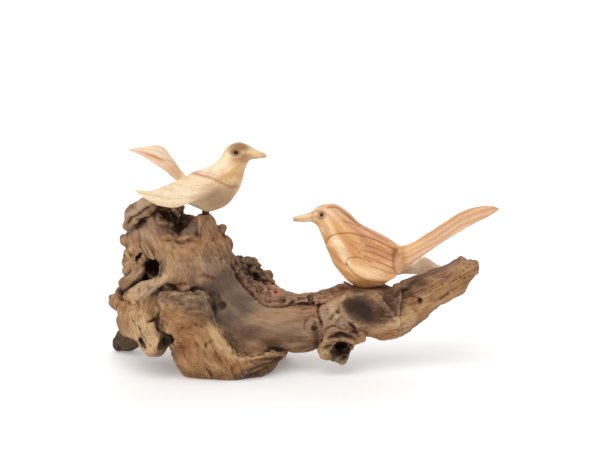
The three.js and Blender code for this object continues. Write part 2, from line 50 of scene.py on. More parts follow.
# Driving sizes, in millimetres, in the frame in which the wood and the birds were laid out
BIRD_PLANE = -2
PEAK_TOP = 98.6
PEG = {"x": -58.3, "radius": 2.3, "bottom": 98.9, "top": 102.5, "taper": 0.08, "facets": 0.03}
# Flats that carry the peg and the lower bird, with the half length that shows no relief
PERCH = {"x": PEG["x"], "level": PEAK_TOP, "long": 12, "deep": 14, "calm": 3}
SEAT = {"x": 41, "level": 52.5, "long": 34, "deep": 22, "calm": 12}
ROOM_OVER_A_FLAT = 8
UPPER_EYE = (-39, -8.5, 138)
LOWER_EYE = (13.5, -8.2, 99)
EYE_RADIUS = 1.5
WARP = {"reach": 1.1, "wave": 19}
APRON = {"thick": 4, "level": 55, "lip": 15, "right": -10.5, "front": -4, "tear": 0.9, "tear_wave": 8}
SOFT = {"fill": 9, "mass": 7, "branch": 5, "side": 4, "apron": 3, "crisp": 2.5, "cut": 1.5, "fine": 1.2,
        "skin": 0.6}
ROOT_LOW = (-130, -60, -6)
ROOT_HIGH = (124, 62, 116)
ROOT_CELL = 1.02
BIRD_VOXEL = 0.42

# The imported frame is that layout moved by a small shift, which the near eye of the upper bird gives.
eye_low, eye_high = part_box("upper_eye_near")
SHIFT = np.array((eye_low + eye_high) / 2) / MM - np.array(UPPER_EYE)


# Camera

PHOTO = {"width": 600, "height": 451, "mm_per_pixel": 0.62}
CAMERA = {"distance": 1000, "rise": math.radians(12), "aim": 90.9, "sensor": 36}
SIGHT = {"start": 90, "steps": 60, "share": 0.8}
PIXELS = CAMERA["distance"] / PHOTO["mm_per_pixel"]
AHEAD = np.array([0, math.cos(CAMERA["rise"]), -math.sin(CAMERA["rise"])])
UPWARD = np.array([0, math.sin(CAMERA["rise"]), math.cos(CAMERA["rise"])])
STAND = np.array([0, 0, CAMERA["aim"]]) - CAMERA["distance"] * AHEAD


def placed(name, data):
    """A new object in the scene."""
    thing = bpy.data.objects.new(name, data)
    bpy.context.scene.collection.objects.link(thing)
    return thing


def make_camera():
    data = bpy.data.cameras.new("camera")
    data.sensor_width = CAMERA["sensor"]
    data.lens = PIXELS * CAMERA["sensor"] / PHOTO["width"]
    camera = placed("camera", data)
    camera.location = (STAND + SHIFT) * MM
    camera.rotation_euler = (math.pi / 2 - CAMERA["rise"], 0, 0)
    bpy.context.scene.camera = camera


def pictured(points):
    """Where points of the layout show in the photograph, in its pixels."""
    away = points - STAND
    depth = away @ AHEAD
    across = away[:, 0] / depth * PIXELS + PHOTO["width"] / 2
    down = PHOTO["height"] / 2 - away @ UPWARD / depth * PIXELS
    return np.stack([across, down], -1)


def seen_on(field, pixels):
    """The points of a surface that show at these pixels.

    Each line of sight is walked down from a little before the object, by a share of the distance left.
    """
    pixels = np.array(pixels, float)
    right = (pixels[:, :1] - PHOTO["width"] / 2) / PIXELS * np.array([1, 0, 0])
    rays = AHEAD + right + (PHOTO["height"] / 2 - pixels[:, 1:]) / PIXELS * UPWARD
    rays /= np.linalg.norm(rays, axis=1)[:, None]
    reach = np.full(len(rays), float(CAMERA["distance"] - SIGHT["start"]))
    for _ in range(SIGHT["steps"]):
        reach += SIGHT["share"] * field(STAND + reach[:, None] * rays)
    return STAND + reach[:, None] * rays


# Forms: signed distances in millimetres, negative inside

def meet(a, b, soft):
    """Two forms joined, with a fillet about as wide as soft."""
    blend = np.maximum(soft - np.abs(a - b), 0) / soft
    return np.minimum(a, b) - blend * blend * soft / 4


def overlap(a, b, soft):
    """The space that two forms share."""
    return -meet(-a, -b, soft)


def turned(p, tilt, turn):
    """Turns about the vertical by turn, then in the picture plane by tilt."""
    c, s = math.cos(math.radians(turn)), math.sin(math.radians(turn))
    x, y, z = p[..., 0] * c + p[..., 1] * s, p[..., 1] * c - p[..., 0] * s, p[..., 2]
    c, s = math.cos(math.radians(tilt)), math.sin(math.radians(tilt))
    return np.stack([x * c + z * s, y, z * c - x * s], -1)


def limb(a, b, ra, rb, deep=1):
    """A round limb that tapers from radius ra at a to rb at b; deep stretches it in depth."""
    stretch = np.array([1, 1 / deep, 1])
    start, run = np.array(a) * stretch, (np.array(b) - np.array(a)) * stretch

    def distance(p):
        q = p * stretch - start
        t = np.clip(q @ run / (run @ run), 0, 1)
        away = np.linalg.norm(q - t[..., None] * run, axis=-1)
        return (away - ra - (rb - ra) * t) * min(1, deep)
    return distance


def lump(at, half, tilt=0, turn=0):
    """An ellipsoid with three half sizes."""
    half = np.array(half, float)

    def distance(p):
        q = turned(p - np.array(at), tilt, turn)
        near = np.linalg.norm(q / half, axis=-1)
        slope = np.linalg.norm(q / half ** 2, axis=-1)
        return near * (near - 1) / np.maximum(slope, 1e-9)
    return distance


def slab(at, half, rounding, tilt=0, turn=0):
    """A block with rounded edges."""
    half = np.array(half, float) - rounding

    def distance(p):
        q = np.abs(turned(p - np.array(at), tilt, turn)) - half
        outside = np.linalg.norm(np.maximum(q, 0), axis=-1)
        return outside + np.minimum(q.max(-1), 0) - rounding
    return distance


def behind(at, facing):
    """Everything behind a plane, on the side away from facing."""
    facing = np.array(facing, float)
    facing /= np.linalg.norm(facing)
    return lambda p: (p - np.array(at)) @ facing


def joined(forms, p, soft, start):
    for form in forms:
        start = meet(start, form(p), soft)
    return start


# Rootwood, in the same forms as the solid, and finer ones on them

MASSES = [
    limb([-55, 0, 69], [-40, 2, 35], 13, 22.5),
    limb([-39, 2, 33], [0, -2, 29.5], 23, 16.5),
    limb([0, -2, 29], [25, -2, 33.5], 16.5, 16),
    limb([-58.5, -2, 98], [-57, -2, 68], 3.6, 14.5),
    lump([-75, 14, 39.5], [36, 26, 31]),
    lump([-78, 4, 66.5], [24, 18, 22], -40),
    lump([-43, -7, 9.5], [27, 22, 14], 4),
    lump([-64, -14, 13.5], [14, 13, 11], -20),
    lump([-59, -12, 24], [19, 19, 19], -20),
    limb([27.5, 0, 35.5], [57.5, 0, 36.5], 16, 15.5),
    limb([55, 0, 36], [72, 0, 43], 16, 13, 0.85),
]
BRANCH = slab([87.5, 0, 52], [36, 10, 9.8], 6, 25.5)
BRANCH_CUTS = [
    behind([107.5, 0, 59.5], [0.873, 0, -0.487]),
    behind([95, 0, 45], [0.52, 0, -0.854]),
    behind([106, 0, 68.5], [0.275, 0, 0.963]),
]
FOOT = [limb([-91, 20, 26], [-110.5, 32, 9.5], 12, 8), limb([-110, 30, 11.5], [-118.5, 33, 5], 6, 4.5)]
SIDE = [
    lump([-90, 0, 81.5], [17.5, 15, 19], -10),
    limb([-86, -17, 58], [-103.5, -15, 49.5], 6.5, 4.8),
    limb([-61.5, -16, 56.5], [-83.5, -18, 60], 5, 6),
    lump([-113.5, -10, 45], [4.6, 5.5, 5]),
    lump([-111.5, 0, 48.5], [4, 5, 3.5]),
    limb([-92.5, -14, 47], [-107.5, -13, 40], 9, 5.5),
    limb([-97.5, -16, 37], [-89, -24, 21], 13, 8),
    lump([-72, -19, 45], [18, 14, 11]),
    lump([-76.5, -20, 34.5], [10, 12, 10]),
    lump([-100, -2, 31], [15, 16, 13]),
    *FOOT,
    limb([-102, 2, 77.5], [-105.5, 4, 65.5], 6, 4.5),
    limb([-105.5, 4, 66.5], [-104, 6, 58.5], 4.5, 2.5),
    limb([-100.5, 9, 61.5], [-109, 7, 46.5], 6, 4),
    lump([-109, 4, 81], [3.5, 5, 3.5]),
    limb([-14, 18, 15.5], [-15.5, 24, 2.5], 11, 7),
]
CRISP = [
    limb([-91.5, -1, 105.5], [-102.5, -3, 99], 5, 4.6, 2.4),
    limb([-102.5, -3, 99], [-106, -2, 90.5], 4.6, 3, 2.2),
    lump([-88.5, 12, 95.5], [15, 5, 13.5]),
    limb([-90, 10, 105.5], [-90.5, 9, 111], 3, 1.2),
    slab([-77.5, 11, 96], [4.5, 6, 7.5], 2.5, -24, 20),
    lump([-69.5, 13, 88], [7, 5, 7]),
    lump([-49, 8, 86.5], [3.5, 5, 4]),
    lump([-47.5, 8, 76.5], [4.4, 6, 6.5], -15),
    limb([-59.5, -3, 98], [-71.5, -6, 83], 2.6, 5),
    slab([-36, 15, 59.5], [9, 10, 6], 1.5, -3, 10),
    slab([-28, 15, 53], [9, 10, 6.5], 1.5, -36),
    slab([-21, 13, 47], [8, 8, 5], 1.5, -46, -10),
    lump([22.5, -3, 40], [11, 17, 11], 30),
    slab([21, -11, 23], [9.5, 9, 10], 4, 8),
    slab([22.5, -16, 17.5], [10, 8, 8.3], 3.5, -12),
    lump([SEAT["x"], BIRD_PLANE, 45.5], [15, 13, 8]),
]
PITS = [
    lump([-83, 2, 94.5], [8.5, 8, 7], -20),
    lump([-75, 0, 89.5], [5, 8, 5.5], -35),
    lump([-90, -10, 66.5], [6.8, 12, 6.4], -35),
    lump([-99, -12, 73], [1, 9, 4.2], -32),
    lump([-81, -28, 24.5], [4.4, 13, 6], -35),
    lump([-96, -28, 24], [2.6, 1.4, 4.5]),
    lump([-71, -26, 58], [11, 4, 1.8], 8),
    limb([25.5, -34, 15.5], [25, -14, 18.5], 6.8, 4.4),
    lump([38, -18.5, 42.5], [15, 8, 9], -25),
]
APRON_EDGES = {
    "upper": behind([-55.5, 0, 48], [14, 0, 3]),
    "lower": behind([-52.5, 0, 34], [21, 0, 15.5]),
    "left": behind([-85.5, 0, 49.5], [-32.5, 0, -7]),
}

# Small forms that only the finished surface has
FINE = [
    # flake at the right of the crater
    slab([-77, 2, 96.5], [1.6, 6, 5.5], 0.8, 28, 25),
    # loose bark along the top of the arm
    slab([-2, -8, 46.5], [7.5, 6, 1.7], 1.2, 6, 0),
    slab([14, -8, 47.5], [6, 7, 2.2], 1.4, 18, 0),
    # the mass of the grown-over knot, in front of the branch
    lump([45, -6, 39], [16, 12.5, 14], -20),
    # strips that hang beside the hole, and the strand below it
    limb([-106, -4, 76], [-107.5, -4, 64], 2.6, 3.4),
    limb([-100.5, -7, 77], [-103, -6, 64], 2.2, 2.6),
    limb([-97, -5, 65], [-108, -6, 54], 5, 4.6),
    # web between the stub and the branch
    limb([31, -13, 22], [37.5, -12, 24], 5, 4),
    # blunt corner at the end of the branch
    slab([105, 0, 66], [6, 6, 2.6], 0.7, -14),
]
# Smooth wood above the ridge, which fades into what is round it
FILL = lump([-70, -7, 68], [22, 15, 13], -8)
BESIDE_THE_SEAT = limb([27.2, -3, 55.8], [31, -3, 49], 1, 4)
FINE_PITS = [
    # shallow slope all round the bowl
    lump([38.5, -22, 41.5], [20, 8.5, 12], -25),
    # broken rim of the stub
    lump([26.6, -28, 15.4], [9, 13, 6.8], 8),
    slab([34.4, -18, 9.4], [5, 22, 8.5], 1.5, -31),
    # left shoulder of the peak
    slab([-67.7, -2, 98.2], [7.7, 12, 4], 1, 42.7),
    # dip between the seat and the branch
    lump([57.5, 10, 56], [6, 14, 7.5]),
]


def ripple(p, shift, wave):
    """A soft ripple between about -1 and 1."""
    k = 2 * math.pi / wave
    x, y, z = p[..., 0] * k + shift, p[..., 1] * k + 1.7 * shift, p[..., 2] * k + 2.3 * shift
    first = np.sin(x + 1.3 * np.sin(0.7 * y)) * np.cos(0.9 * y + 0.6 * z)
    second = np.sin(0.8 * y + 1.1 * np.sin(0.6 * z)) * np.cos(z - 0.5 * x)
    third = np.sin(1.1 * z) * np.cos(0.8 * x + y)
    return (first + second + third) / 2


def bent(p, reach, wave):
    """Points moved by a ripple, which bends every form that is laid out on them."""
    return p + reach * np.stack([ripple(p, axis + 1, wave) for axis in range(3)], -1)


def bare_wood(p):
    bar = BRANCH(p)
    for cut in BRANCH_CUTS:
        bar = overlap(bar, cut(p), SOFT["cut"])
    first, *rest = MASSES
    wood = meet(joined(rest, p, SOFT["mass"], first(p)), bar, SOFT["branch"])
    return joined(SIDE, p, SOFT["side"], wood)


def apron(p, wood):
    """The skin of fibre over the lower front, which ends along a torn, stepped edge."""
    torn = bent(p, APRON["tear"], APRON["tear_wave"])
    lip = np.maximum(torn[..., 2] - APRON["lip"], torn[..., 0] - APRON["right"])
    right = np.minimum(np.minimum(APRON_EDGES["upper"](torn), APRON_EDGES["lower"](torn)), lip)
    skin = overlap(wood - APRON["thick"], right, SOFT["fine"])
    skin = overlap(skin, APRON_EDGES["left"](torn), SOFT["apron"])
    skin = overlap(skin, torn[..., 1] - APRON["front"], SOFT["apron"])
    return overlap(skin, torn[..., 2] - APRON["level"], SOFT["side"])


def inside_box(p, low, high):
    """A box that stands square; negative inside."""
    low, high = np.array(low, float), np.array(high, float)
    return np.maximum(low - p, p - high).max(-1)


def room_over(p, flat):
    """The space that stays free over a flat that carries something."""
    x, level, half_long, half_deep = flat["x"], flat["level"], flat["long"] / 2, flat["deep"] / 2
    low = [x - half_long, BIRD_PLANE - half_deep, level]
    return inside_box(p, low, [x + half_long, BIRD_PLANE + half_deep, level + ROOM_OVER_A_FLAT])


def root_form(point):
    p = bent(point, WARP["reach"], WARP["wave"])
    wood = bare_wood(p)
    wood = meet(meet(wood, FILL(p), SOFT["fill"]), apron(p, wood), SOFT["skin"])
    wood = joined(CRISP, p, SOFT["crisp"], wood)
    wood = joined(FINE, p, SOFT["fine"], wood)
    for pit in PITS + FINE_PITS:
        wood = overlap(wood, -pit(p), SOFT["cut"])
    wood = np.maximum(wood, -np.minimum(room_over(point, SEAT), room_over(point, PERCH)))
    wood = meet(wood, BESIDE_THE_SEAT(p), SOFT["fine"])
    return np.maximum(wood, -point[..., 2])


# Surfaces from forms

def surface_nets(value, origin, cell):
    """One vertex in each grid cell that the surface crosses, and the four-sided faces between them."""
    inside = value < 0
    size = np.array(value.shape)
    count = np.zeros(tuple(size - 1), np.int8)
    for i, j, k in product((0, 1), repeat=3):
        count += inside[i:size[0] - 1 + i, j:size[1] - 1 + j, k:size[2] - 1 + k]
    cells = np.argwhere((count > 0) & (count < 8))
    index = -np.ones(tuple(size - 1), np.int64)
    index[tuple(cells.T)] = np.arange(len(cells))
    total, hits = np.zeros((len(cells), 3)), np.zeros(len(cells))
    for axis in range(3):
        sides = [a for a in range(3) if a != axis]
        for u, v in product((0, 1), repeat=2):
            offset = np.zeros(3, int)
            offset[sides] = u, v
            low = cells + offset
            high = low.copy()
            high[:, axis] += 1
            a, b = value[tuple(low.T)], value[tuple(high.T)]
            crossed = (a < 0) != (b < 0)
            point = offset + np.zeros((len(cells), 3))
            point[:, axis] += np.where(crossed, a / np.where(crossed, a - b, 1), 0)
            total += point * crossed[:, None]
            hits += crossed
    points = (cells + total / hits[:, None]) * cell + origin
    faces = []
    for axis in range(3):
        u, v = np.roll(np.eye(3, dtype=int), -1 - axis, axis=0)[:2]
        low, high = [slice(1, -1)] * 3, [slice(1, -1)] * 3
        low[axis], high[axis] = slice(0, -1), slice(1, None)
        here, there = inside[tuple(low)], inside[tuple(high)]
        for leaving, flip in ((here & ~there, False), (~here & there, True)):
            edge = np.argwhere(leaving) + 1
            edge[:, axis] -= 1
            ring = np.stack([index[tuple((edge - o).T)] for o in (u + v, v, 0 * u, u)], 1)
            faces.append(ring[:, ::-1] if flip else ring)
    return points, np.concatenate(faces)


def polygonised(form, low, high, cell, step=4):
    """Samples the form only where its surface may be, then draws the surface."""
    low = np.array(low, float)
    size = (np.ceil((np.array(high) - low) / cell).astype(int) // step + 1) * step
    coarse = np.stack(np.meshgrid(*[np.arange(n // step + 1) * step * cell + o
                                    for n, o in zip(size, low)], indexing="ij"), -1)
    guess = form(coarse.reshape(-1, 3)).reshape(coarse.shape[:3])
    near = np.abs(guess) < 2.2 * step * cell
    blocks = np.zeros(tuple(size // step), bool)
    for i, j, k in product((0, 1), repeat=3):
        blocks |= near[i:i + blocks.shape[0], j:j + blocks.shape[1], k:k + blocks.shape[2]]
    value = np.where(guess[:-1, :-1, :-1] < 0, -1e3, 1e3)
    for axis in range(3):
        value = np.repeat(value, step, axis)
    fine = np.stack(np.meshgrid(*[np.arange(step)] * 3, indexing="ij"), -1).reshape(-1, 3)
    places = (np.argwhere(blocks)[:, None] * step + fine).reshape(-1, 3)
    for start in range(0, len(places), 200000):
        part = places[start:start + 200000]
        value[tuple(part.T)] = form(part * cell + low)
    return surface_nets(value, low, cell)


def slope_of(form, points, reach):
    """Unit directions in which the form's distance grows."""
    slope = np.stack([form(points + reach * axis) - form(points - reach * axis)
                      for axis in np.eye(3)], -1)
    return slope / np.maximum(np.linalg.norm(slope, axis=1)[:, None], 1e-9)


def largest_piece(points, faces):
    """Drops crumbs: only the faces that hang together with most of the others stay."""
    label = np.arange(len(points))
    ends = np.concatenate([faces[:, [0, 1]], faces[:, [1, 2]], faces[:, [2, 3]]])
    while True:
        lowest = np.minimum(label[ends[:, 0]], label[ends[:, 1]])
        new = label.copy()
        np.minimum.at(new, ends[:, 0], lowest)
        np.minimum.at(new, ends[:, 1], lowest)
        new = new[new]
        if (new == label).all():
            break
        label = new
    kept = label == np.bincount(label).argmax()
    number = np.cumsum(kept) - 1
    return points[kept], number[faces[kept[faces[:, 0]]]]


def relaxed(points, faces, rounds, share):
    """Moves each point towards the mean of its neighbours."""
    ends = np.concatenate([faces[:, [n, (n + 1) % 4]] for n in range(4)])
    count = np.maximum(np.bincount(ends[:, 0], minlength=len(points)), 1)[:, None]
    for _ in range(rounds):
        total = [np.bincount(ends[:, 0], points[ends[:, 1], k], len(points)) for k in range(3)]
        points = points + share * (np.stack(total, -1) / count - points)
    return points


def normals_of(points, faces):
    a, b, c, d = (points[faces[:, n]] for n in range(4))
    face_normal = np.cross(c - a, d - b)
    total = [sum(np.bincount(faces[:, n], face_normal[:, k], len(points)) for n in range(4))
             for k in range(3)]
    total = np.stack(total, -1)
    return total / np.maximum(np.linalg.norm(total, axis=1)[:, None], 1e-9)


def sunk(points, faces, normal, rounds):
    """How far each point lies below the mean of its surroundings; negative where it stands out."""
    return ((relaxed(points, faces, rounds, 0.6) - points) * normal).sum(1)


# Noise

DICE = np.random.default_rng(11)
SHUFFLE = DICE.permutation(256)
SLOPES = DICE.normal(size=(256, 3))
SLOPES /= np.linalg.norm(SLOPES, axis=1)[:, None]


def noise(p):
    """Smooth noise between about -1 and 1 that changes once in each unit of length."""
    cell = np.floor(p).astype(int)
    q = p - cell
    fade = q * q * q * (q * (q * 6 - 15) + 10)
    total = 0
    for corner in product((0, 1), repeat=3):
        at = (cell + corner) & 255
        mixed = SHUFFLE[(SHUFFLE[(SHUFFLE[at[:, 0]] + at[:, 1]) & 255] + at[:, 2]) & 255]
        weight = np.where(corner, fade, 1 - fade).prod(-1)
        total = total + weight * ((q - corner) * SLOPES[mixed]).sum(-1)
    return 1.7 * total


def layered(p, octaves=3):
    return sum(noise(p * 2 ** n + 17.3 * n) / 2 ** n for n in range(octaves))


def ridges(p):
    """Noise with sharp crests, between 0 and 1."""
    return 1 - np.minimum(np.abs(noise(p)) * 2, 1)


def smooth_step(low, high, x):
    t = np.clip((x - low) / (high - low), 0, 1)
    return t * t * (3 - 2 * t)


def ledges(x, steps):
    """Turns a smooth height into steps with rounded treads."""
    level = x * steps
    return (np.floor(level) + smooth_step(0.3, 0.7, level - np.floor(level))) / steps


# Lines and patches

def curve_through(points, steps):
    """A smooth curve through points."""
    rows = np.array(points, float)
    rows = np.vstack([2 * rows[0] - rows[1], rows, 2 * rows[-1] - rows[-2]])
    out = []
    for a, b, c, d in zip(rows, rows[1:], rows[2:], rows[3:]):
        for t in np.arange(steps) / steps:
            bend = (2 * a - 5 * b + 4 * c - d) * t * t + (3 * b - a - 3 * c + d) * t ** 3
            out.append(0.5 * (2 * b + (c - a) * t + bend))
    return np.array(out + [rows[-2]])


def nearest_on(line, points):
    """For each point: its distance to a line, the length along the line and the way across, left positive."""
    best = np.full(len(points), np.inf)
    length, across = np.zeros(len(points)), np.zeros(len(points))
    travelled = 0
    for a, b in zip(line[:-1], line[1:]):
        run = b - a
        size = np.linalg.norm(run)
        t = np.clip((points - a) @ run / size ** 2, 0, 1)
        away = points - a - t[:, None] * run
        gap = np.linalg.norm(away, axis=1)
        closer = gap < best
        best = np.where(closer, gap, best)
        length = np.where(closer, travelled + t * size, length)
        across = np.where(closer, away @ np.array([-run[2], 0, run[0]]) / size, across)
        travelled += size
    return best, length, across


def pictured_line(where, pixels):
    """Distance in the picture to a line, in millimetres, and the side of it, positive on its left."""
    line = curve_through([(x, 0, -y) for x, y in pixels], 5)
    flat = np.stack([where[:, 0], 0 * where[:, 0], -where[:, 1]], -1)
    gap, _, across = nearest_on(line, flat)
    return gap * PHOTO["mm_per_pixel"], across


def patch(where, wobble, x, y, half_x, half_y, tilt, share=1.0, soft=0.33):
    """A soft oval as seen in the picture: its centre, half sizes, tilt, strength and soft border."""
    c, s = math.cos(math.radians(tilt)), math.sin(math.radians(tilt))
    dx, dy = where[:, 0] - x, y - where[:, 1]
    reach = np.hypot((dx * c + dy * s) / half_x, (dy * c - dx * s) / half_y)
    return share * smooth_step(1 + soft, 1 - soft, reach + wobble)


def tint(code):
    """A colour written as six hexadecimal digits, as the linear values that shaders use."""
    parts = [int(code[n:n + 2], 16) / 255 for n in (0, 2, 4)]
    return [p / 12.92 if p <= 0.04045 else ((p + 0.055) / 1.055) ** 2.4 for p in parts] + [1]


def painted(base, layers):
    """Colours laid over a base one after another; each layer is a share for every point and a colour."""
    colour = np.ones((len(layers[0][0]), 1)) * tint(base)
    for share, code in layers:
        colour += np.clip(share, 0, 1)[:, None] * (tint(code) - colour)
    return colour


# Root: streams of fibre, in millimetres

STREAMS = {
    "main": [(-62, 0, 116), (-58, 0, 88), (-50, 0, 58), (-32, 0, 36), (0, 0, 29), (30, 0, 34),
             (60, 0, 38), (85, 0, 50), (118, 0, 68)],
    "side": [(-104, 0, 112), (-92, 0, 88), (-84, 0, 66), (-97, 0, 48), (-100, 0, 32), (-84, 0, 2)],
    "apron": [(-98, 0, 46), (-76, 0, 41), (-60, 0, 37), (-49, 0, 24), (-38, 0, 4), (-34, 0, -10)],
}


def grain_along(points, streams):
    """Coordinates along the streams of fibre that are near, across them and in depth."""
    total, weights = 0, 0
    for stream in streams:
        gap, length, across = nearest_on(curve_through(stream, 6), points * [1, 0, 1])
        weight = 1 / (gap + 1) ** 4
        total = total + weight * np.stack([length, across])
        weights = weights + weight
    length, across = total / weights
    return np.stack([length, across, points[:, 1]], -1)


# Root: relief read from the photograph. Each line has its pixels, then height and width in millimetres.

RELIEF = {
    "groove under the bark plate": ([(152, 203.5), (145, 210), (138, 214.5), (131, 218.5),
                                     (126.5, 225)], -2.6, 1.2),
    "edge of the bark plate": ([(153, 200), (145, 206), (137, 211), (129, 216)], 0.6, 1.5),
    "first crease of the bulge": ([(137, 226), (139, 234), (141, 242)], -0.5, 0.9),
    "second crease of the bulge": ([(150, 229), (154, 236), (157, 243)], -0.5, 1.0),
    "pitted top of the bulge": ([(132, 217), (138, 219.5), (145, 221)], -1.3, 1.4),
    "crater lip": ([(145, 213.5), (152, 212.5), (157, 215), (158, 222.5), (164, 223.5), (169.5, 223.5),
                    (171, 231), (176.5, 236), (181.5, 236)], 1.2, 1.3),
    "fringe below the crater": ([(161, 238), (166, 236.5), (172, 235.5), (178, 238.5), (184, 238),
                                 (188, 236.5), (193, 235.5), (198, 238.5)], 0.9, 1.0),
    "shade of the fringe": ([(162, 242.5), (168, 240.5), (174, 240), (181, 243), (189, 240.5),
                             (197, 242)], -0.7, 1.0),
    "front ridge of the peak": ([(200, 213), (199.5, 226), (199, 236)], 0.9, 0.8),
    "bark strip right of the peak": ([(213, 222), (219, 236), (224, 247), (229, 258)], 0.9, 1.5),
    "groove right of the peak": ([(209, 229), (214, 240), (218, 250), (222, 258)], -1.0, 0.9),
    "first wrinkle": ([(166, 242), (163, 249), (167, 257)], -0.4, 0.9),
    "second wrinkle": ([(174, 245), (172, 252), (176, 260)], -0.4, 0.9),
    "third wrinkle": ([(189, 246), (196, 252), (199, 260)], -0.4, 0.9),
    "fourth wrinkle": ([(204, 240), (210, 249), (213, 258)], -0.6, 0.8),
    "gap between the strips": ([(132.5, 247), (132, 257), (134, 268)], -1.8, 0.9),
    "slit above the hole": ([(137, 250), (139.5, 255), (142.5, 260)], -0.9, 0.9),
    "fold across the ridge": ([(150, 281), (148, 286), (149, 292)], -0.9, 0.9),
    "second fold across the ridge": ([(141, 284), (139, 290), (140, 297)], -1.0, 0.9),
    "bright tip of the ridge": ([(151, 286), (158, 283), (167, 280)], 0.9, 1.7),
    "groove below the ridge": ([(148, 297), (156, 293), (161, 289), (166, 285), (172, 287),
                                (179, 290.5)], -2.2, 1.3),
    "deep part of the groove": ([(174, 291.5), (181, 292.5), (189, 290.8), (197, 288.5)], -2.6, 1.2),
    "lens knot": ([(198, 277.5), (204, 275), (210, 277.5), (217, 281)], -1.1, 1.2),
    "grain of the middle": ([(170, 274), (184, 270), (199, 268)], -0.4, 0.8),
    "top edge of the crust": ([(166, 293.5), (172, 291.8), (180, 294.6), (190, 292), (198, 290.5),
                               (209, 297)], 0.8, 0.9),
    "first crust fold": ([(171, 300), (178, 305), (186, 303)], -0.7, 0.9),
    "second crust fold": ([(184, 312), (192, 309), (203, 309.5)], -0.9, 1.0),
    "apron edge": ([(211, 303), (212.5, 317), (217.5, 331), (226, 345), (236, 356), (242, 359)], 0.6, 1.4),
    "shade of the apron edge": ([(214, 303), (216, 317), (221.5, 331), (230, 344), (240, 353.5),
                                 (247, 355)], -0.8, 1.3),
    "left border of the apron": ([(157, 301), (158.5, 309), (157, 318), (157.5, 326),
                                  (160, 333)], -1.5, 1.0),
    "ridge on that border": ([(160.5, 300), (162.5, 308), (161, 318), (161.5, 327)], 0.9, 1.3),
    "slot beside the apron": ([(149, 321.5), (154, 319.5), (160, 318.5)], -2.4, 0.9),
    "blob's lower edge": ([(158, 325), (161, 331.5), (167, 335.5), (172, 335)], -1.1, 0.9),
    "first apron fold": ([(176, 338), (182, 348), (184, 360)], -0.6, 1.1),
    "second apron fold": ([(190, 333), (197, 345), (200, 361)], -0.5, 1.1),
    "cleft in the apron": ([(205, 349), (207, 344), (212.5, 340.5)], -1.4, 1.1),
    "third apron fold": ([(214, 346), (218, 356), (226, 366)], -0.6, 1.1),
    "apron swell": ([(170, 342), (176, 354), (186, 366)], 0.8, 2.2),
    "second apron swell": ([(203, 352), (208, 362), (219, 372)], 0.9, 2.4),
    "crack at the toe": ([(205, 368), (209, 372.5), (212.5, 378)], -2.2, 0.8),
    "lip under the arm": ([(241, 359.5), (250, 356), (262, 354), (274, 354.5), (285, 355)], 0.9, 1.0),
    "groove under that lip": ([(244, 364), (254, 360.5), (266, 359), (280, 360)], -1.0, 1.0),
    "first streak of the base": ([(248, 371), (260, 366.5), (274, 362)], -1.0, 0.9),
    "second streak of the base": ([(246, 378), (258, 372.5), (268, 367)], -0.8, 0.9),
    "trunk and crust": ([(231, 259), (237, 272), (242, 281), (247, 288), (254, 295),
                         (259, 302)], -2.2, 1.3),
    "arm and bark": ([(258, 301), (268, 306), (278, 307), (288, 305.5), (293, 302), (303, 298)], -1.5, 0.9),
    "first bark crack": ([(296, 296.5), (302, 298.5), (310, 296)], -1.8, 0.9),
    "second bark crack": ([(303, 304), (308.5, 304.5), (315, 302)], -1.1, 0.8),
    "third bark crack": ([(284, 300), (291, 298.5), (297, 301)], -0.9, 0.8),
    "fourth bark crack": ([(264, 299), (272, 301), (279, 300.5)], -1.0, 0.8),
    "notch on the burl": ([(321, 299), (325, 297), (330, 297.5)], -1.8, 1.1),
    "second notch on the burl": ([(318, 291.5), (322, 292.5), (327, 291)], -1.0, 0.9),
    "crack before the burl": ([(319.5, 302), (318, 309), (320, 318), (320.8, 327)], -1.6, 1.1),
    "first burl ridge": ([(325, 320), (331, 312), (338, 306)], 0.9, 1.2),
    "second burl ridge": ([(331, 325), (338, 317), (345, 313)], 0.8, 1.1),
    "first burl groove": ([(328, 321), (334, 314.5), (341, 309.5)], -0.8, 0.8),
    "second burl groove": ([(336, 322), (342, 317.5), (348, 318)], -0.7, 0.8),
    "upper collar": ([(322, 332), (328, 327.5), (334, 325.7), (340, 328), (345, 330)], -1.3, 0.8),
    "lower collar": ([(328, 337.5), (335, 335.4), (342.4, 333.6), (348.5, 336), (356, 340)], -1.4, 0.8),
    "roll between the collars": ([(325, 336), (333, 331.5), (341, 331), (350, 332.5)], 0.9, 1.4),
    "crack right of the burl": ([(348.5, 321.5), (354.5, 328.8), (358, 336)], -2.3, 1.1),
    "left rim of the bowl": ([(352, 292.5), (345, 296), (340.5, 303), (343, 313), (350, 321),
                              (358, 326.5)], 0.9, 1.3),
    "right rim of the bowl": ([(373, 291), (380, 297.5), (387, 307), (394, 317), (400, 323)], 1.1, 1.3),
    "low rim of the bowl": ([(359, 327), (370, 329), (382, 327), (391, 322)], 0.7, 1.4),
    "first line of the branch knot": ([(403, 297.5), (411, 296), (419, 298.5)], -0.8, 0.8),
    "second line of the branch knot": ([(404, 303.5), (411, 304.5), (418, 303)], -0.8, 0.8),
    "long grain of the branch": ([(424, 309), (440, 298.5), (458, 288)], -0.6, 0.9),
    "second long grain of the branch": ([(410, 323), (430, 312), (448, 300)], -0.5, 0.8),
    "dent on top of the branch": ([(398, 291), (404, 288.5), (410, 286.5)], -1.8, 1.6),
    "crease from the left knob": ([(119, 297), (128, 303), (138, 306)], -1.1, 1.0),
    "crease along the lobe": ([(128, 317), (136, 325), (142, 334)], -1.1, 1.1),
    "ridge along the lobe": ([(126, 314), (134, 312.5), (144, 314), (152, 317)], 0.9, 1.4),
}

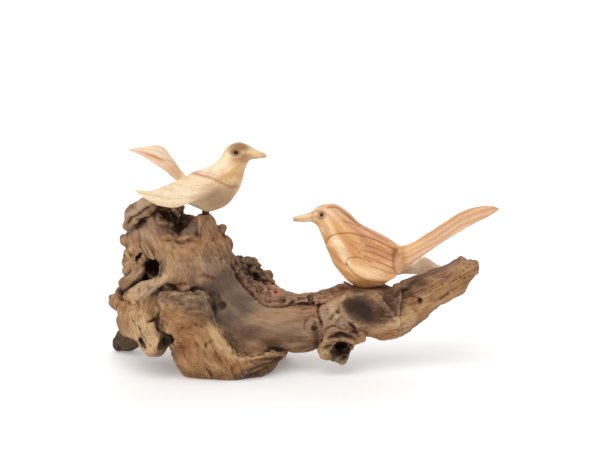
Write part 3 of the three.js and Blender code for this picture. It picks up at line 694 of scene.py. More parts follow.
# Small hollows: pixel, depth and radius in millimetres
HOLLOWS = {
    "voids of the crust": [((242, 266), 3.0, 2.4), ((246, 273), 3.6, 2.6), ((250, 265), 2.2, 1.8),
                           ((257, 275.5), 3.0, 1.9), ((262, 281), 1.8, 1.4), ((276, 291), 2.2, 1.3),
                           ((268, 277), 1.6, 1.4), ((237, 262), 1.6, 1.6), ((268, 288), 1.5, 1.6)],
    "trunk knot": [((222, 305.5), 1.6, 2.6), ((219, 299), 0.6, 2.0)],
    "ring knot": [((314.5, 328), 1.8, 2.0), ((315, 323), 1.0, 1.4)],
    "branch": [((420.5, 301), 2.2, 1.4), ((416, 311), 0.9, 1.6), ((448, 293.5), 1.0, 0.9)],
    "burl": [((341, 303), 0.9, 1.3), ((354.5, 331), 1.6, 1.5), ((327, 309), 0.8, 1.1)],
    "left side": [((150, 263), 1.6, 2.0), ((146, 280), 1.6, 2.4), ((141, 342), 0.6, 3.0),
                  ((126, 331), 1.4, 1.6)],
}
RING_KNOT = {"pixel": (313.3, 325), "radius": 5.3}
BRANCH_STEP = {
    "line": [(401, 290), (402, 298), (400.5, 306), (399.5, 315), (401, 325)],
    "from": 392, "drop": 1.5, "reach": 14,
}
# Worm holes: how many lie in each zone, and the zone's left, right, top and bottom pixels
WORM_HOLES = {
    "end of the branch": (16, 455, 477, 263, 279), "middle of the branch": (4, 425, 460, 272, 300),
    "trunk and apron": (8, 135, 240, 240, 350), "burl and bowl": (4, 340, 400, 300, 335),
}
WORM = {"radius": 0.8, "depth": 0.8}

# Kinds of surface, each with its patches in the picture
ZONES = {
    "crusty": {
        "crusted chunk": (254, 276, 28, 15, -38), "top of the bulge": (140, 218, 12, 7, 25),
        "crater": (168, 214, 16, 12, 0), "lobe": (140, 330, 22, 20, -40, 0.6),
        "apron crust": (185, 300, 27, 10, -5, 0.9), "left knob": (118, 300, 9, 9, 0, 0.4),
    },
    "broken": {
        "crusted chunk": (254, 277, 27, 14, -38), "crater": (170, 212, 12, 9, 0, 0.5),
        "bark on the arm": (290, 299, 30, 6, 5, 0.5), "stub": (338, 350, 17, 15, 0, 0.6),
    },
    "speckled": {
        "lobe": (142, 331, 22, 20, -40), "top edge of the crust": (188, 295, 26, 5, -3, 0.8),
        "left knob": (118, 300, 9, 9, 0, 0.5), "front of the base": (215, 368, 30, 9, -10, 0.4),
    },
    "smooth": {
        "trunk": (236, 298, 40, 28, -42), "arm": (275, 325, 42, 22, 5, 0.9), "bowl": (363, 311, 22, 15, -22),
        "left of the peak": (191, 225, 9, 11, 35), "middle": (184, 270, 22, 10, 10, 0.6),
        "bark plate": (140, 210, 16, 5, 38, 0.6), "bulge": (148, 231, 15, 13, 0, 0.85),
        "below the peak": (180, 249, 26, 13, -5, 0.6), "lobe": (140, 330, 22, 18, -40, 0.3),
        "end of the branch": (460, 264, 16, 9, 25, 0.7),
    },
}
CRUSTED_BLOCK = lump([-31, 13, 55], [20, 15, 13], -35)
# The root's left side, right of which the fibre runs with the trunk
LEFT_SIDE = behind([-68, 0, 60], [1, 0, 0.35])
# Painted shade, each with its strength and, in millimetres, where it begins and where it is full:
# under the stub along x, z and y, and on the back-left foot, low by the floor, by its distance and level
SHADE_UNDER_THE_STUB = {"left": (15, 19), "right": (42, 36), "level": (15.5, 12), "depth": (-4, -9), "share": 0.85}
FOOT_SHADE = {"distance": (5, 1), "level": (29, 10), "share": 0.86}

# Cells of the noise that lays fibre over the surface: along it, across it and in depth
FIBRE = {
    "wave": [46, 8, 8], "split": [52, 11, 11], "ledge": [30, 8, 8], "furrow": [26, 4.4, 4.4],
    "hair": [12, 2.4, 2.4], "shard": [9, 4.2, 4.2],
}

# Colours of the root
WOOD_TONES = {
    "brown": "8b6b57", "gold": "a57b54", "pale": "d0ae86", "grey": "6a574a", "red": "96634c",
    "umber": "523a2f", "night": "2e1f18", "rust": "98613c", "ash": "bea48f", "brick": "80574a",
    "dusk": "5c3c24", "rose": "b98b74", "void": "160e0a",
}
# Drifts of colour along the grain, with the cells of their noise
DRIFTS = {
    "gold": [60, 18, 18], "grey": [70, 14, 14], "red": [34, 8, 8], "umber": [50, 10, 10], "pale": [40, 6, 6],
}
# Patches of colour, each with its tone and its oval in the picture, in the order in which they are laid on
PAINT = {
    "apron, upper": ("gold", 182, 320, 27, 12, 0), "apron, lower": ("gold", 196, 350, 34, 27, -45),
    "apron, toe": ("gold", 214, 373, 34, 9, -8, 0.7), "lobe": ("gold", 138, 321, 26, 22, -35),
    "lobe, light": ("pale", 140, 315, 20, 10, -10, 0.35), "left knob": ("gold", 120, 301, 12, 9, 0),
    "below the peak": ("gold", 182, 248, 24, 13, -5, 0.8),
    "fringe, light": ("pale", 176, 244, 20, 8, 0, 0.35),
    "strip at the peak": ("gold", 222, 243, 6, 19, -22), "branch": ("gold", 434, 301, 36, 14, 33),
    "under the knot": ("gold", 374, 337, 30, 8, 14), "left strips": ("gold", 133, 259, 9, 18, 0, 0.7),
    "trunk": ("grey", 230, 300, 30, 36, -45), "trunk, top": ("grey", 214, 262, 16, 15, 0, 0.6),
    "trunk, bloom": ("ash", 212, 260, 14, 10, 0, 0.18),
    "left of the peak": ("grey", 190, 226, 9, 12, 35, 0.9), "arm": ("grey", 280, 334, 36, 14, 8, 0.3),
    "strand": ("ash", 136, 276, 9, 11, 40, 0.5), "top of the branch": ("grey", 410, 289, 20, 6, 30, 0.9),
    "bulge": ("ash", 144, 229, 12, 11, 0, 0.25), "crust": ("grey", 186, 299, 28, 9, -5, 0.8),
    "ridge": ("pale", 149, 287, 24, 8, 28, 0.85), "ridge, tip": ("ash", 152, 286, 18, 7, 28, 0.75),
    "rough lobe": ("pale", 146, 335, 18, 20, -40, 0.9), "apron's edge": ("pale", 220, 340, 20, 7, -58),
    "apron's corner": ("pale", 232, 354, 12, 6, -35, 0.6), "lip": ("pale", 258, 356, 18, 3, 8, 0.7),
    "bark plate": ("ash", 141, 209, 15, 6, 38, 0.85), "middle": ("pale", 180, 270, 24, 9, 12, 0.3),
    "arm, light": ("pale", 270, 316, 28, 8, 8, 0.3), "rim of the bowl": ("pale", 342, 308, 5, 18, -22, 0.5),
    "low rim": ("pale", 388, 326, 18, 5, 25, 0.7), "right of the step": ("pale", 408, 318, 9, 11, 0, 0.6),
    "rim of the stub": ("pale", 324, 349, 5, 10, -10, 0.6), "strips": ("pale", 130, 258, 4, 14, 0, 0.5),
    "end of the branch": ("gold", 462, 272, 16, 12, 30, 0.7),
    "branch, light": ("pale", 438, 296, 22, 8, 33, 0.25),
    "back-left spot": ("pale", 114, 343, 4, 4, 0, 0.4), "knot": ("red", 207, 278, 8, 3.5, -10, 0.7),
    "knot, dark": ("umber", 206, 277, 5, 2, -10, 0.5), "red strip": ("red", 314, 340, 7, 4, 0, 0.8),
    "right of the peak": ("red", 206, 232, 8, 16, -10, 0.15),
    "crater wall": ("red", 165, 209, 16, 9, 0, 0.7), "apron, red": ("rust", 182, 344, 12, 6, 0, 0.6),
    "toe, red": ("rust", 231, 364, 10, 6, 0, 0.6), "apron, streak": ("rust", 190, 325, 18, 4, 5, 0.4),
    "chunk": ("brick", 258, 280, 28, 14, -40), "chunk, right": ("rose", 269, 286, 16, 8, -40, 0.9),
    "peak ridge": ("pale", 199.7, 224, 1.3, 11, 0, 0.5), "burl": ("ash", 334, 315, 15, 12, 0, 0.55),
    "collars": ("brick", 338, 333, 20, 7, -5, 0.55), "branch knot": ("rust", 410, 300, 8, 4, 0, 0.6),
    "fringe": ("rust", 180, 240, 22, 4, 0, 0.35), "mauve stripe": ("umber", 190, 315, 9, 2.5, 5, 0.6),
    # The dark patch along the toe's bottom is painted shade where the toe meets the floor
    "base": ("dusk", 264, 369, 28, 11, 28), "painted shade at the toe": ("dusk", 212, 378, 32, 6, -5, 0.5),
    "toe, right": ("umber", 246, 378, 14, 7, 15, 0.6), "under the arm": ("gold", 276, 351, 28, 5, 10, 0.6),
    "bowl": ("umber", 365, 310, 23, 14, -25, 0.8),
    "right of the bowl": ("umber", 390, 304, 11, 16, -25, 0.75),
    "chunk, dark": ("umber", 250, 272, 26, 13, -38, 0.66), "smudge": ("umber", 243, 337, 9, 12, -45, 0.25),
    "edge shade": ("umber", 229, 335, 22, 3.5, -55, 0.5), "crater": ("umber", 170, 219, 16, 10, -15),
    "arm, low": ("umber", 300, 342, 16, 6, 5, 0.25), "branch, top": ("dusk", 412, 288, 22, 5, 30, 0.6),
    "peak, left": ("umber", 190, 226, 8, 11, 35, 0.35), "bowl, deep": ("night", 366, 312, 16, 8, -35, 0.7),
    # The dark patch on the bowl's left is painted shade on the side of the hollow turned from the light
    "painted shade on the bowl's left": ("night", 350, 305, 8, 7, -40, 0.55),
    "bowl, middle": ("night", 367, 314, 12, 7, -35, 0.7),
    "bowl, right": ("dusk", 382, 312, 8, 12, -35, 0.75), "wedge": ("night", 176, 229, 8, 8, -45, 0.9),
    # The near-black patches in the hole, the second hole, the stub and its mouth, the voids and the branch
    # hole are painted shade inside these hollows
    "hole": ("night", 153, 268, 10, 9, -35), "ball": ("night", 122, 291, 6, 4, 0, 0.8),
    "trunk knot": ("night", 222, 305, 4.5, 4.5, 0, 0.8), "stub": ("night", 342.5, 353, 12.5, 10, -8),
    "mouth of the stub": ("void", 344, 353, 11, 8, -20, 0.7),
    "second hole": ("night", 167.5, 341, 6, 7, -35), "chunk, night": ("night", 247, 270, 19, 9, -38, 0.3),
    "voids": ("void", 246, 270, 6.5, 8, -35, 0.8), "second void": ("void", 257, 276, 4.5, 3, -30, 0.9),
    "ring knot": ("night", 315, 327, 3.5, 5, 0, 0.7), "groove": ("night", 186, 291, 12, 2, 0, 0.6),
    "branch dent": ("night", 404, 289, 6, 3, 20, 0.6), "branch hole": ("night", 420, 301, 2.5, 3, 0, 0.8),
    "pocket": ("grey", 142, 342, 4, 7, 0, 0.7), "stub, below": ("brick", 341, 361, 9, 3, 0, 0.8),
}


def line_on(field, pixels, steps=5):
    """A line that lies on a surface, seen from the camera through these pixels."""
    smooth = curve_through([(x, 0, y) for x, y in pixels], steps)
    return seen_on(field, smooth[:, [0, 2]])


def ring_knot(points):
    """The ring of a grown-over knot: a groove round a low dome."""
    centre = seen_on(root_form, [RING_KNOT["pixel"]])[0]
    gap = np.linalg.norm((points - centre) * np.array([1, 0.5, 1]), axis=1)
    radius = RING_KNOT["radius"]
    ring = np.exp(-((gap - radius) / 0.9) ** 2) + 0.5 * np.exp(-((gap - 0.6 * radius) / 0.6) ** 2)
    return 0.8 * np.exp(-(gap / 4.5) ** 4) - ring * (0.8 + 0.7 * noise(points / 4.5))


def worm_holes(points):
    """Small round holes, most of them near the end of the branch."""
    dice = np.random.default_rng(5)
    places = [(dice.uniform(left, right), dice.uniform(top, low))
              for number, left, right, top, low in WORM_HOLES.values() for _ in range(number)]
    depth = np.zeros(len(points))
    for centre in seen_on(root_form, places):
        gap = np.linalg.norm(points - centre, axis=1)
        depth = np.minimum(depth, -WORM["depth"] * np.exp(-(gap / WORM["radius"]) ** 4))
    return depth


def drawn_relief(points, where):
    """All lines, knots and hollows that are placed by the photograph."""
    low, high = np.zeros(len(points)), np.zeros(len(points))
    uneven = 1 + 0.5 * noise(points / 2.6)
    for pixels, height, width in RELIEF.values():
        line = line_on(root_form, pixels)
        near = inside_box(points, line.min(0) - 3 * width, line.max(0) + 3 * width) < 0
        gap, length, _ = nearest_on(line, points[near])
        fade = smooth_step(0, 3, length) * smooth_step(0, 3, length.max() - length)
        mark = height * uneven[near] * (0.4 + 0.6 * fade) * np.exp(-(gap / width) ** 2)
        low[near], high[near] = np.minimum(low[near], mark), np.maximum(high[near], mark)
    for hollows in HOLLOWS.values():
        centres = seen_on(root_form, [pixel for pixel, _, _ in hollows])
        for (_, depth, radius), centre in zip(hollows, centres):
            gap = np.linalg.norm(points - centre, axis=1)
            low = np.minimum(low, -depth * np.exp(-(gap / radius) ** 3))
    gap, side = pictured_line(where, BRANCH_STEP["line"])
    reach = BRANCH_STEP["reach"]
    step = -BRANCH_STEP["drop"] * smooth_step(0.8, -0.8, -side) * smooth_step(reach, 0, gap)
    step *= smooth_step(0, -6, points[:, 1]) * (where[:, 0] > BRANCH_STEP["from"])
    return low + high + step + ring_knot(points) + worm_holes(points)


def fibre_relief(points, grain, zones):
    """Furrows and torn ledges along the grain, knobbly crust and broken shards."""
    smooth, crusty = zones["smooth"], zones["crusty"]
    sway = np.stack([noise(points / 14 + n) for n in (0, 31.7, 64.1)], -1)
    flow = grain + sway * [4, 3, 3] + 0.5 * noise(points / 4.5)[:, None]
    cells = {name: flow / cell for name, cell in FIBRE.items()}
    lively = (1 - 0.85 * smooth) * (1 - 0.45 * crusty) * (1 - 0.45 * zones["apron"])
    # Long waves, and splits in some places
    height = 0.9 * lively * noise(cells["wave"])
    split = noise(cells["split"] + 5.2) / 0.07
    height -= 1.1 * lively * np.exp(-split ** 2) * smooth_step(0.05, 0.4, noise(points / 17 + 2))
    # Torn ledges in others, then furrows and hairs everywhere
    torn = ledges(layered(cells["ledge"], 2), 2.2)
    height += 0.7 * lively * torn * smooth_step(0, 0.5, noise(points / 19 + 7))
    height += 0.42 * lively * (ridges(cells["furrow"] + 3.1) - 0.5)
    height += 0.2 * (1 - 0.7 * smooth) * noise(cells["hair"])
    # Unevenness that doesn't follow the fibre, knobs and grit of the crust, and shards
    height += 0.35 * (1 - 0.6 * smooth) * layered(points / 8, 3)
    knobs = 1 - 2 * np.abs(noise(points / 6))
    height += crusty * (0.5 * knobs + 0.45 * layered(points / 3.2, 2))
    height += 2.4 * zones["broken"] * ledges(layered(cells["shard"] + 9.4, 2), 1.8)
    return height


def away_from(points, flat):
    """0 on a flat, 1 from 2 mm away."""
    beyond = np.maximum(np.abs(points[:, 0] - flat["x"]) - flat["calm"], 0)
    return np.clip(np.hypot(points[:, 2] - flat["level"], beyond) / 2, 0, 1)


def flat_zones(points):
    """0 on the flats that meet the floor, the peg and the lower bird, 1 away from them."""
    low = smooth_step(0.2, 2.5, points[:, 2])
    return low * away_from(points, SEAT) * away_from(points, PERCH)


def bare_root():
    """The root's skin before any relief: points drawn onto the form, faces and the ways out of the wood."""
    points, faces = largest_piece(*polygonised(root_form, ROOT_LOW, ROOT_HIGH, ROOT_CELL))
    for _ in range(2):
        step = np.clip(root_form(points), -0.5, 0.5)
        points = points - 0.9 * step[:, None] * slope_of(root_form, points, 0.4)
    return points, faces, slope_of(root_form, points, 0.6)


def root_zones(points, where, facing, wobble):
    """How far each point belongs to each kind of surface."""
    zones = {name: facing * np.max([patch(where, wobble, *shape) for shape in patches.values()], axis=0)
             for name, patches in ZONES.items()}
    away = 1 - facing
    zones["crusty"] = np.maximum(zones["crusty"], away * smooth_step(0.1, 0.5, noise(points / 24 + 3)))
    zones["broken"] = np.maximum(zones["broken"], away * smooth_step(4, -4, CRUSTED_BLOCK(points)))
    warped = bent(points, WARP["reach"], WARP["wave"])
    wood = bare_wood(warped)
    zones["apron"] = (apron(warped, wood) < 0.4) & (wood > 1.2)
    # The foot zone is the painted shade on the back-left foot, darker towards its bottom
    foot = np.minimum(*[form(warped) for form in FOOT])
    zones["foot"] = smooth_step(*FOOT_SHADE["distance"], foot + 2 * noise(points / 7))
    zones["foot"] *= smooth_step(*FOOT_SHADE["level"], points[:, 2] + 3 * noise(points / 9))
    zones["speckled"] = zones["speckled"] * (1 - zones["foot"])
    return zones


def root_grain(points, on_apron):
    """Coordinates along the fibre of the apron, of the left side or of the trunk and the branch."""
    main, side, skirt = (grain_along(points, [STREAMS[name]]) for name in ("main", "side", "apron"))
    left = LEFT_SIDE(points) < 0
    return np.where(on_apron[:, None], skirt, np.where(left[:, None], side, main))


def hollow_shade_and_crest_light(points, normal, moved, faces, zones):
    """How deep in a hollow each point lies, as painted shade, and how far out on a crest, as worn wood with a
    painted highlight.
    """
    skin = normals_of(moved, faces)
    small, wide = sunk(moved, faces, skin, 2), sunk(moved, faces, skin, 14)
    # How much of the space round each point the wood fills, an estimate of how shaded it is; deep adds it to
    # the sinking and is painted shade in the hollows
    hidden = np.mean([1 - np.clip(root_form(points + r * normal) / r, 0, 1) for r in (2, 5, 10)], axis=0)
    deep = np.clip(1.4 * (small - 0.06), 0, 0.5) + np.clip(0.4 * wide, 0, 0.4) + 0.9 * hidden ** 1.5
    deep *= 1 + 0.6 * smooth_step(0.5, 1, zones["broken"])
    # The crest share lightens worn crests, partly as a painted highlight
    lit_worn_crest = np.clip(-1.8 * small - 0.4 * wide, 0, 1)
    lit_worn_crest *= 1 - np.maximum(0.4 * zones["broken"], 0.7 * zones["foot"])
    return np.clip(deep, 0, 1), lit_worn_crest


def root_paint(points, where, facing, wobble, grain, zones):
    """Drifts of colour along the grain, then the patches of the picture, then painted shade on the back-left
    foot and under the stub.
    """
    strength = 0.5 - 0.25 * zones["smooth"]
    layers = [(strength * smooth_step(0, 0.6, noise(grain / size + 3.7 * n)), WOOD_TONES[tone])
              for n, (tone, size) in enumerate(DRIFTS.items())]
    layers.append((0.9 * zones["apron"], WOOD_TONES["gold"]))
    for tone, *shape in PAINT.values():
        layers.append((facing * patch(where, wobble, *shape), WOOD_TONES[tone]))
    # Painted shade under the stub and on the back-left foot
    x, y, z = points.T
    shade_under_stub = smooth_step(*SHADE_UNDER_THE_STUB["level"], z) * smooth_step(*SHADE_UNDER_THE_STUB["left"], x)
    shade_under_stub *= smooth_step(*SHADE_UNDER_THE_STUB["right"], x) * smooth_step(*SHADE_UNDER_THE_STUB["depth"], y)
    layers.append((FOOT_SHADE["share"] * zones["foot"], WOOD_TONES["night"]))
    layers.append((SHADE_UNDER_THE_STUB["share"] * shade_under_stub, WOOD_TONES["night"]))
    return painted(WOOD_TONES["brown"], layers)


def root_surface():
    points, faces, normal = bare_root()
    facing = smooth_step(-0.1, 0.25, -(normal @ AHEAD))
    where = pictured(points)
    wobble = 0.3 * layered(points / 9)
    zones = root_zones(points, where, facing, wobble)
    grain = root_grain(points, zones["apron"])
    height = fibre_relief(points, grain, zones) + drawn_relief(points, where)
    moved = points + (height * flat_zones(points))[:, None] * normal
    moved[:, 2] = np.maximum(moved[:, 2], 0)
    # deep is painted shade for the hollows; the crest share is wear with a painted highlight
    deep, lit_worn_crest = hollow_shade_and_crest_light(points, normal, moved, faces, zones)
    paint = root_paint(points, where, facing, wobble, grain, zones)
    return moved, faces, {"grain": grain, "paint": paint, "deep": deep, "lit_worn_crest": lit_worn_crest,
                          "smooth": zones["smooth"], "speckled": zones["speckled"]}


# Pieces

ATTRIBUTES = {1: ("FLOAT", "value"), 3: ("FLOAT_VECTOR", "vector"), 4: ("FLOAT_COLOR", "color")}


def make_piece(name, points, faces, tones=None):
    """A smooth mesh from points of the layout; each tone is a number, vector or colour at every point."""
    mesh = bpy.data.meshes.new(name)
    corners = faces.tolist() if isinstance(faces, np.ndarray) else faces
    mesh.from_pydata(((points + SHIFT) * MM).tolist(), [], corners)
    for tone, values in (tones or {}).items():
        kind, field = ATTRIBUTES[values.size // len(values)]
        attribute = mesh.attributes.new(tone, kind, "POINT")
        attribute.data.foreach_set(field, values.astype(np.float32).ravel())
    mesh.shade_smooth()
    return placed(name, mesh)


def finish_piece(piece, material, slot, *nodes):
    """Gives a piece its material, hangs it on the root's body and hides the solids it stands for."""
    piece.data.materials.clear()
    piece.data.materials.append(material)
    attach(piece, "root")
    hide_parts(*nodes)


# Materials

class Recipe:
    """A material under construction."""

    def __init__(self, name):
        self.material = bpy.data.materials.new(name)
        self.material.use_nodes = True
        self.tree = self.material.node_tree
        self.shader = self.tree.nodes["Principled BSDF"]

    def set(self, socket, value):
        if isinstance(value, bpy.types.NodeSocket):
            self.tree.links.new(value, socket)
        else:
            socket.default_value = value

    def node(self, kind, inputs, output=0, **settings):
        node = self.tree.nodes.new(kind)
        for key, value in settings.items():
            setattr(node, key, value)
        for key, value in inputs.items():
            self.set(node.inputs[key], value)
        return node.outputs[output]

    def attribute(self, name, output="Fac"):
        return self.node("ShaderNodeAttribute", {}, output, attribute_name=name)

    def place(self):
        return self.node("ShaderNodeTexCoord", {}, "Object")

    def scaled(self, vector, scale):
        return self.node("ShaderNodeMapping", {"Vector": vector, "Scale": scale})

    def speckle(self, vector, scale=1.0, detail=3.0, rough=0.5, warp=0.0):
        inputs = {"Vector": vector, "Scale": scale, "Detail": detail, "Roughness": rough, "Distortion": warp}
        return self.node("ShaderNodeTexNoise", inputs)

    def rings(self, vector, scale, warp, detail):
        inputs = {"Vector": vector, "Scale": scale, "Distortion": warp, "Detail": detail, "Detail Scale": 1.2}
        settings = {"wave_type": "RINGS", "rings_direction": "X", "wave_profile": "SIN"}
        return self.node("ShaderNodeTexWave", inputs, 1, **settings)

    def math(self, operation, a, b=0.0):
        return self.node("ShaderNodeMath", {0: a, 1: b}, operation=operation)

    def fit(self, value, low, high, to_low=0.0, to_high=1.0):
        inputs = {"Value": value, "From Min": low, "From Max": high, "To Min": to_low, "To Max": to_high}
        return self.node("ShaderNodeMapRange", inputs, clamp=True)

    def mix(self, share, a, b, blend="MIX"):
        node = self.tree.nodes.new("ShaderNodeMix")
        node.data_type, node.blend_type = "RGBA", blend
        for key, value in ((0, share), (6, a), (7, b)):
            self.set(node.inputs[key], value)
        return node.outputs[2]

    def shaded(self, colour, value, dark, light, share=1.0):
        """Multiplies a colour by one that runs from dark to light with a value."""
        return self.mix(share, colour, self.mix(value, [*dark, 1], [*light, 1]), "MULTIPLY")

    def bump(self, height, strength, distance, under=None):
        inputs = {"Height": height, "Strength": strength, "Distance": distance}
        if under is not None:
            inputs["Normal"] = under
        return self.node("ShaderNodeBump", inputs)

    def finish(self, **values):
        for key, value in values.items():
            self.set(self.shader.inputs[key.replace("_", " ")], value)
        return self.material


def root_wood():
    """Weathered wood: streaks and hairs of fibre, painted shade in the hollows, worn crests lightened partly
    as a painted highlight, and speckled rough parts.
    """
    r = Recipe("root_wood")
    grain, place = r.attribute("grain", "Vector"), r.place()
    streaks = r.speckle(r.scaled(grain, (0.032, 0.75, 0.75)), 1, 5, 0.62, 0.5)
    hairs = r.speckle(r.scaled(grain, (0.09, 2.8, 2.8)), 1, 3, 0.6)
    clouds = r.speckle(place, 110, 4, 0.6, 0.5)
    grit = r.speckle(place, 1000, 3, 0.7)
    calm, speckled = r.attribute("smooth"), r.attribute("speckled")
    strength = r.fit(calm, 0, 1, 1.0, 0.45)

    base = r.attribute("paint", "Color")
    base = r.shaded(base, r.fit(clouds, 0.3, 0.7), (0.86, 0.83, 0.8), (1.1, 1.1, 1.1), strength)
    base = r.shaded(base, r.fit(streaks, 0.32, 0.66), (0.62, 0.55, 0.47), (1.26, 1.25, 1.22), strength)
    base = r.shaded(base, r.fit(hairs, 0.3, 0.7), (0.76, 0.72, 0.68), (1.14, 1.14, 1.13), strength)
    specks = r.math("MULTIPLY", r.fit(grit, 0.54, 0.64), speckled)
    base = r.mix(r.math("MULTIPLY", specks, 0.6), base, tint("dcc093"))
    pits = r.math("MULTIPLY", r.fit(grit, 0.46, 0.36), speckled)
    base = r.mix(r.math("MULTIPLY", pits, 0.4), base, tint("5a4232"))
    # Worn crests, lightened in pale tan, partly as a painted highlight
    worn_and_lit = r.math("MULTIPLY", r.attribute("lit_worn_crest"), r.fit(hairs, 0.3, 0.7, 0.4, 1.0))
    base = r.mix(r.math("MULTIPLY", worn_and_lit, 0.6), base, tint("dcb98c"))
    # Painted shade in the hollows, near black in the deepest
    deep = r.attribute("deep")
    base = r.mix(r.fit(deep, 0.04, 0.5, 0, 0.6), base, r.mix(0.75, base, tint("4a2e20")))
    base = r.mix(r.fit(deep, 0.3, 1.0, 0, 0.9), base, tint("21140e"))

    rough = r.math("SUBTRACT", r.fit(grit, 0.3, 0.7, 0.72, 0.92), r.math("MULTIPLY", calm, 0.16))
    first = r.bump(streaks, r.fit(calm, 0, 1, 0.6, 0.12), 0.0009)
    second = r.bump(hairs, r.fit(calm, 0, 1, 0.45, 0.12), 0.0004, first)
    third = r.bump(grit, r.fit(calm, 0, 1, 0.4, 0.1), 0.0003, second)
    return r.finish(Base_Color=base, Roughness=rough, Specular_IOR_Level=0.25, Normal=third)


def bird_wood(name, ring_light, ring_dark, pore_and_cut_shade):
    """Carved wood: growth rings cut through by the carving, long grain, fine pores, and painted shade in the
    carved cuts.
    """
    r = Recipe(name)
    grain = r.attribute("grain", "Vector")
    rings = r.rings(r.scaled(grain, (0.01, 0.075, 0.075)), 1.0, 5.0, 2.5)
    lines = r.speckle(r.scaled(grain, (0.06, 0.95, 0.95)), 1, 4, 0.6, 0.5)
    pores = r.speckle(r.scaled(grain, (0.4, 2.1, 2.1)), 1, 2, 0.6)
    dots = r.speckle(r.scaled(grain, (1.1, 1.5, 1.5)), 1, 2, 0.6)
    speckled = r.attribute("speckled")
    base = r.attribute("paint", "Color")
    base = r.shaded(base, r.fit(rings, 0.15, 0.85), ring_dark, ring_light)
    base = r.shaded(base, r.fit(lines, 0.3, 0.7), (0.9, 0.84, 0.78), (1.06, 1.06, 1.06))
    stained = r.mix(0.55, base, tint(pore_and_cut_shade))
    base = r.mix(r.fit(pores, 0.54, 0.72, 0, 0.6), base, stained)
    base = r.mix(r.math("MULTIPLY", r.fit(dots, 0.52, 0.66), speckled), base, stained)
    flecks = r.speckle(r.scaled(grain, (0.3, 0.75, 0.75)), 1, 2, 0.6)
    base = r.mix(r.math("MULTIPLY", r.fit(flecks, 0.59, 0.66), r.fit(speckled, 0.6, 1)), base, stained)
    # Painted shade in the carved cuts, in the pore colour
    base = r.mix(r.fit(r.attribute("deep"), 0.1, 1, 0, 0.7), base, tint(pore_and_cut_shade))
    rough = r.fit(lines, 0.3, 0.7, 0.42, 0.58)
    first = r.bump(lines, 0.25, 0.0003)
    second = r.bump(pores, 0.25, 0.0002, first)
    return r.finish(Base_Color=base, Roughness=rough, Specular_IOR_Level=0.35, Normal=second)


# Birds

def body(rows):
    """Ribs from the back line to the belly line, both given as x and z, with their half widths."""
    return [[((back_x + belly_x) / 2, BIRD_PLANE, (back_z + belly_z) / 2),
             ((back_x - belly_x) / 2, 0, (back_z - belly_z) / 2), (0, half_width, 0)]
            for (back_x, back_z), (belly_x, belly_z), half_width in rows]


def blade(rows):
    """A wing or tail that spans between two edges, with a half thickness."""
    middle = [(np.array(a, float) + b) / 2 for a, b, _ in rows]
    ribs = []
    for n, (a, b, half) in enumerate(rows):
        run = middle[min(n + 1, len(rows) - 1)] - middle[max(n - 1, 0)]
        tall = (np.array(a, float) - b) / 2
        wide = np.cross(run, tall)
        ribs.append([middle[n], tall, wide / np.linalg.norm(wide) * half])
    return ribs


def tube_faces(rings, sides):
    """Faces of a closed tube: its rings of points come first, then the two points that close its ends."""
    around = [(j, (j + 1) % sides) for j in range(sides)]
    count, last_ring = rings * sides, (rings - 1) * sides
    faces = [(i * sides + a, i * sides + b, (i + 1) * sides + b, (i + 1) * sides + a)
             for i in range(rings - 1) for a, b in around]
    faces += [(count, b, a) for a, b in around]
    faces += [(count + 1, last_ring + a, last_ring + b) for a, b in around]
    return faces


def loft(ribs, steps=8, sides=48):
    """The skin over a row of ribs, closed at both ends."""
    rows = curve_through([np.concatenate(rib) for rib in ribs], steps)
    angle = np.linspace(0, 2 * math.pi, sides, endpoint=False)[None, :, None]
    skin = rows[1:-1, None, :3] + rows[1:-1, None, 3:6] * np.cos(angle) + rows[1:-1, None, 6:] * np.sin(angle)
    points = np.vstack([skin.reshape(-1, 3), rows[0, :3], rows[-1, :3]])
    return points, tube_faces(len(skin), sides)


UPPER_BODY = body([
    ((-20, 135), (-20, 134.5), 0.1),
    ((-21.5, 136.5), (-21.5, 133.5), 1.7),
    ((-28, 139.5), (-28.5, 133), 3.1),
    ((-31.5, 141.5), (-31, 132), 4.6),
    ((-38, 143.5), (-33, 128.5), 7.4),
    ((-45.5, 140), (-34, 125.5), 8.3),
    ((-49.5, 133), (-35, 121), 9),
    ((-57, 128), (-38, 113.5), 11.8),
    ((-67.5, 124), (-45, 104.5), 13.4),
    ((-73, 117.5), (-55.5, 100.5), 11.3),
    ((-72.5, 110), (-64, 103), 6),
    ((-70.5, 106), (-69.5, 105.5), 0.5),
])
UPPER_TAIL = blade([
    [(-69, 1, 120.5), (-71, -6, 115.5), 1.5],
    [(-72.5, 4, 123.5), (-76.5, -5, 121), 1.6],
    [(-77.5, 6, 130), (-81.5, -6, 125.5), 1.5],
    [(-83, 8, 137.5), (-87.5, -7, 130), 1.4],
    [(-87, 8, 140), (-91, -6.5, 132), 1.3],
    [(-93.5, 6.5, 139.8), (-96, -5, 135), 1.2],
    [(-100, 4, 139), (-100.5, -2.5, 137), 1],
    [(-106.5, 0, 138.8), (-106, 0, 138.4), 0.4],
])
UPPER_NEAR_WING = blade([
    [(-44, -8, 122.5), (-44, -10, 117.5), 1.5],
    [(-50, -7, 126), (-47.5, -13.5, 116), 3],
    [(-58.5, -6.5, 126.5), (-54.5, -15.5, 112), 3],
    [(-68.5, -8, 124), (-65.5, -17.5, 109), 2],
    [(-77, -11, 120.5), (-76, -19.5, 106), 1.5],
    [(-84, -13.5, 118), (-85.5, -20.5, 107.5), 1.3],
    [(-91, -16, 116), (-92.5, -20.5, 111), 1.1],
    [(-101, -18.5, 117.2), (-100.7, -18.5, 116.8), 0.4],
])
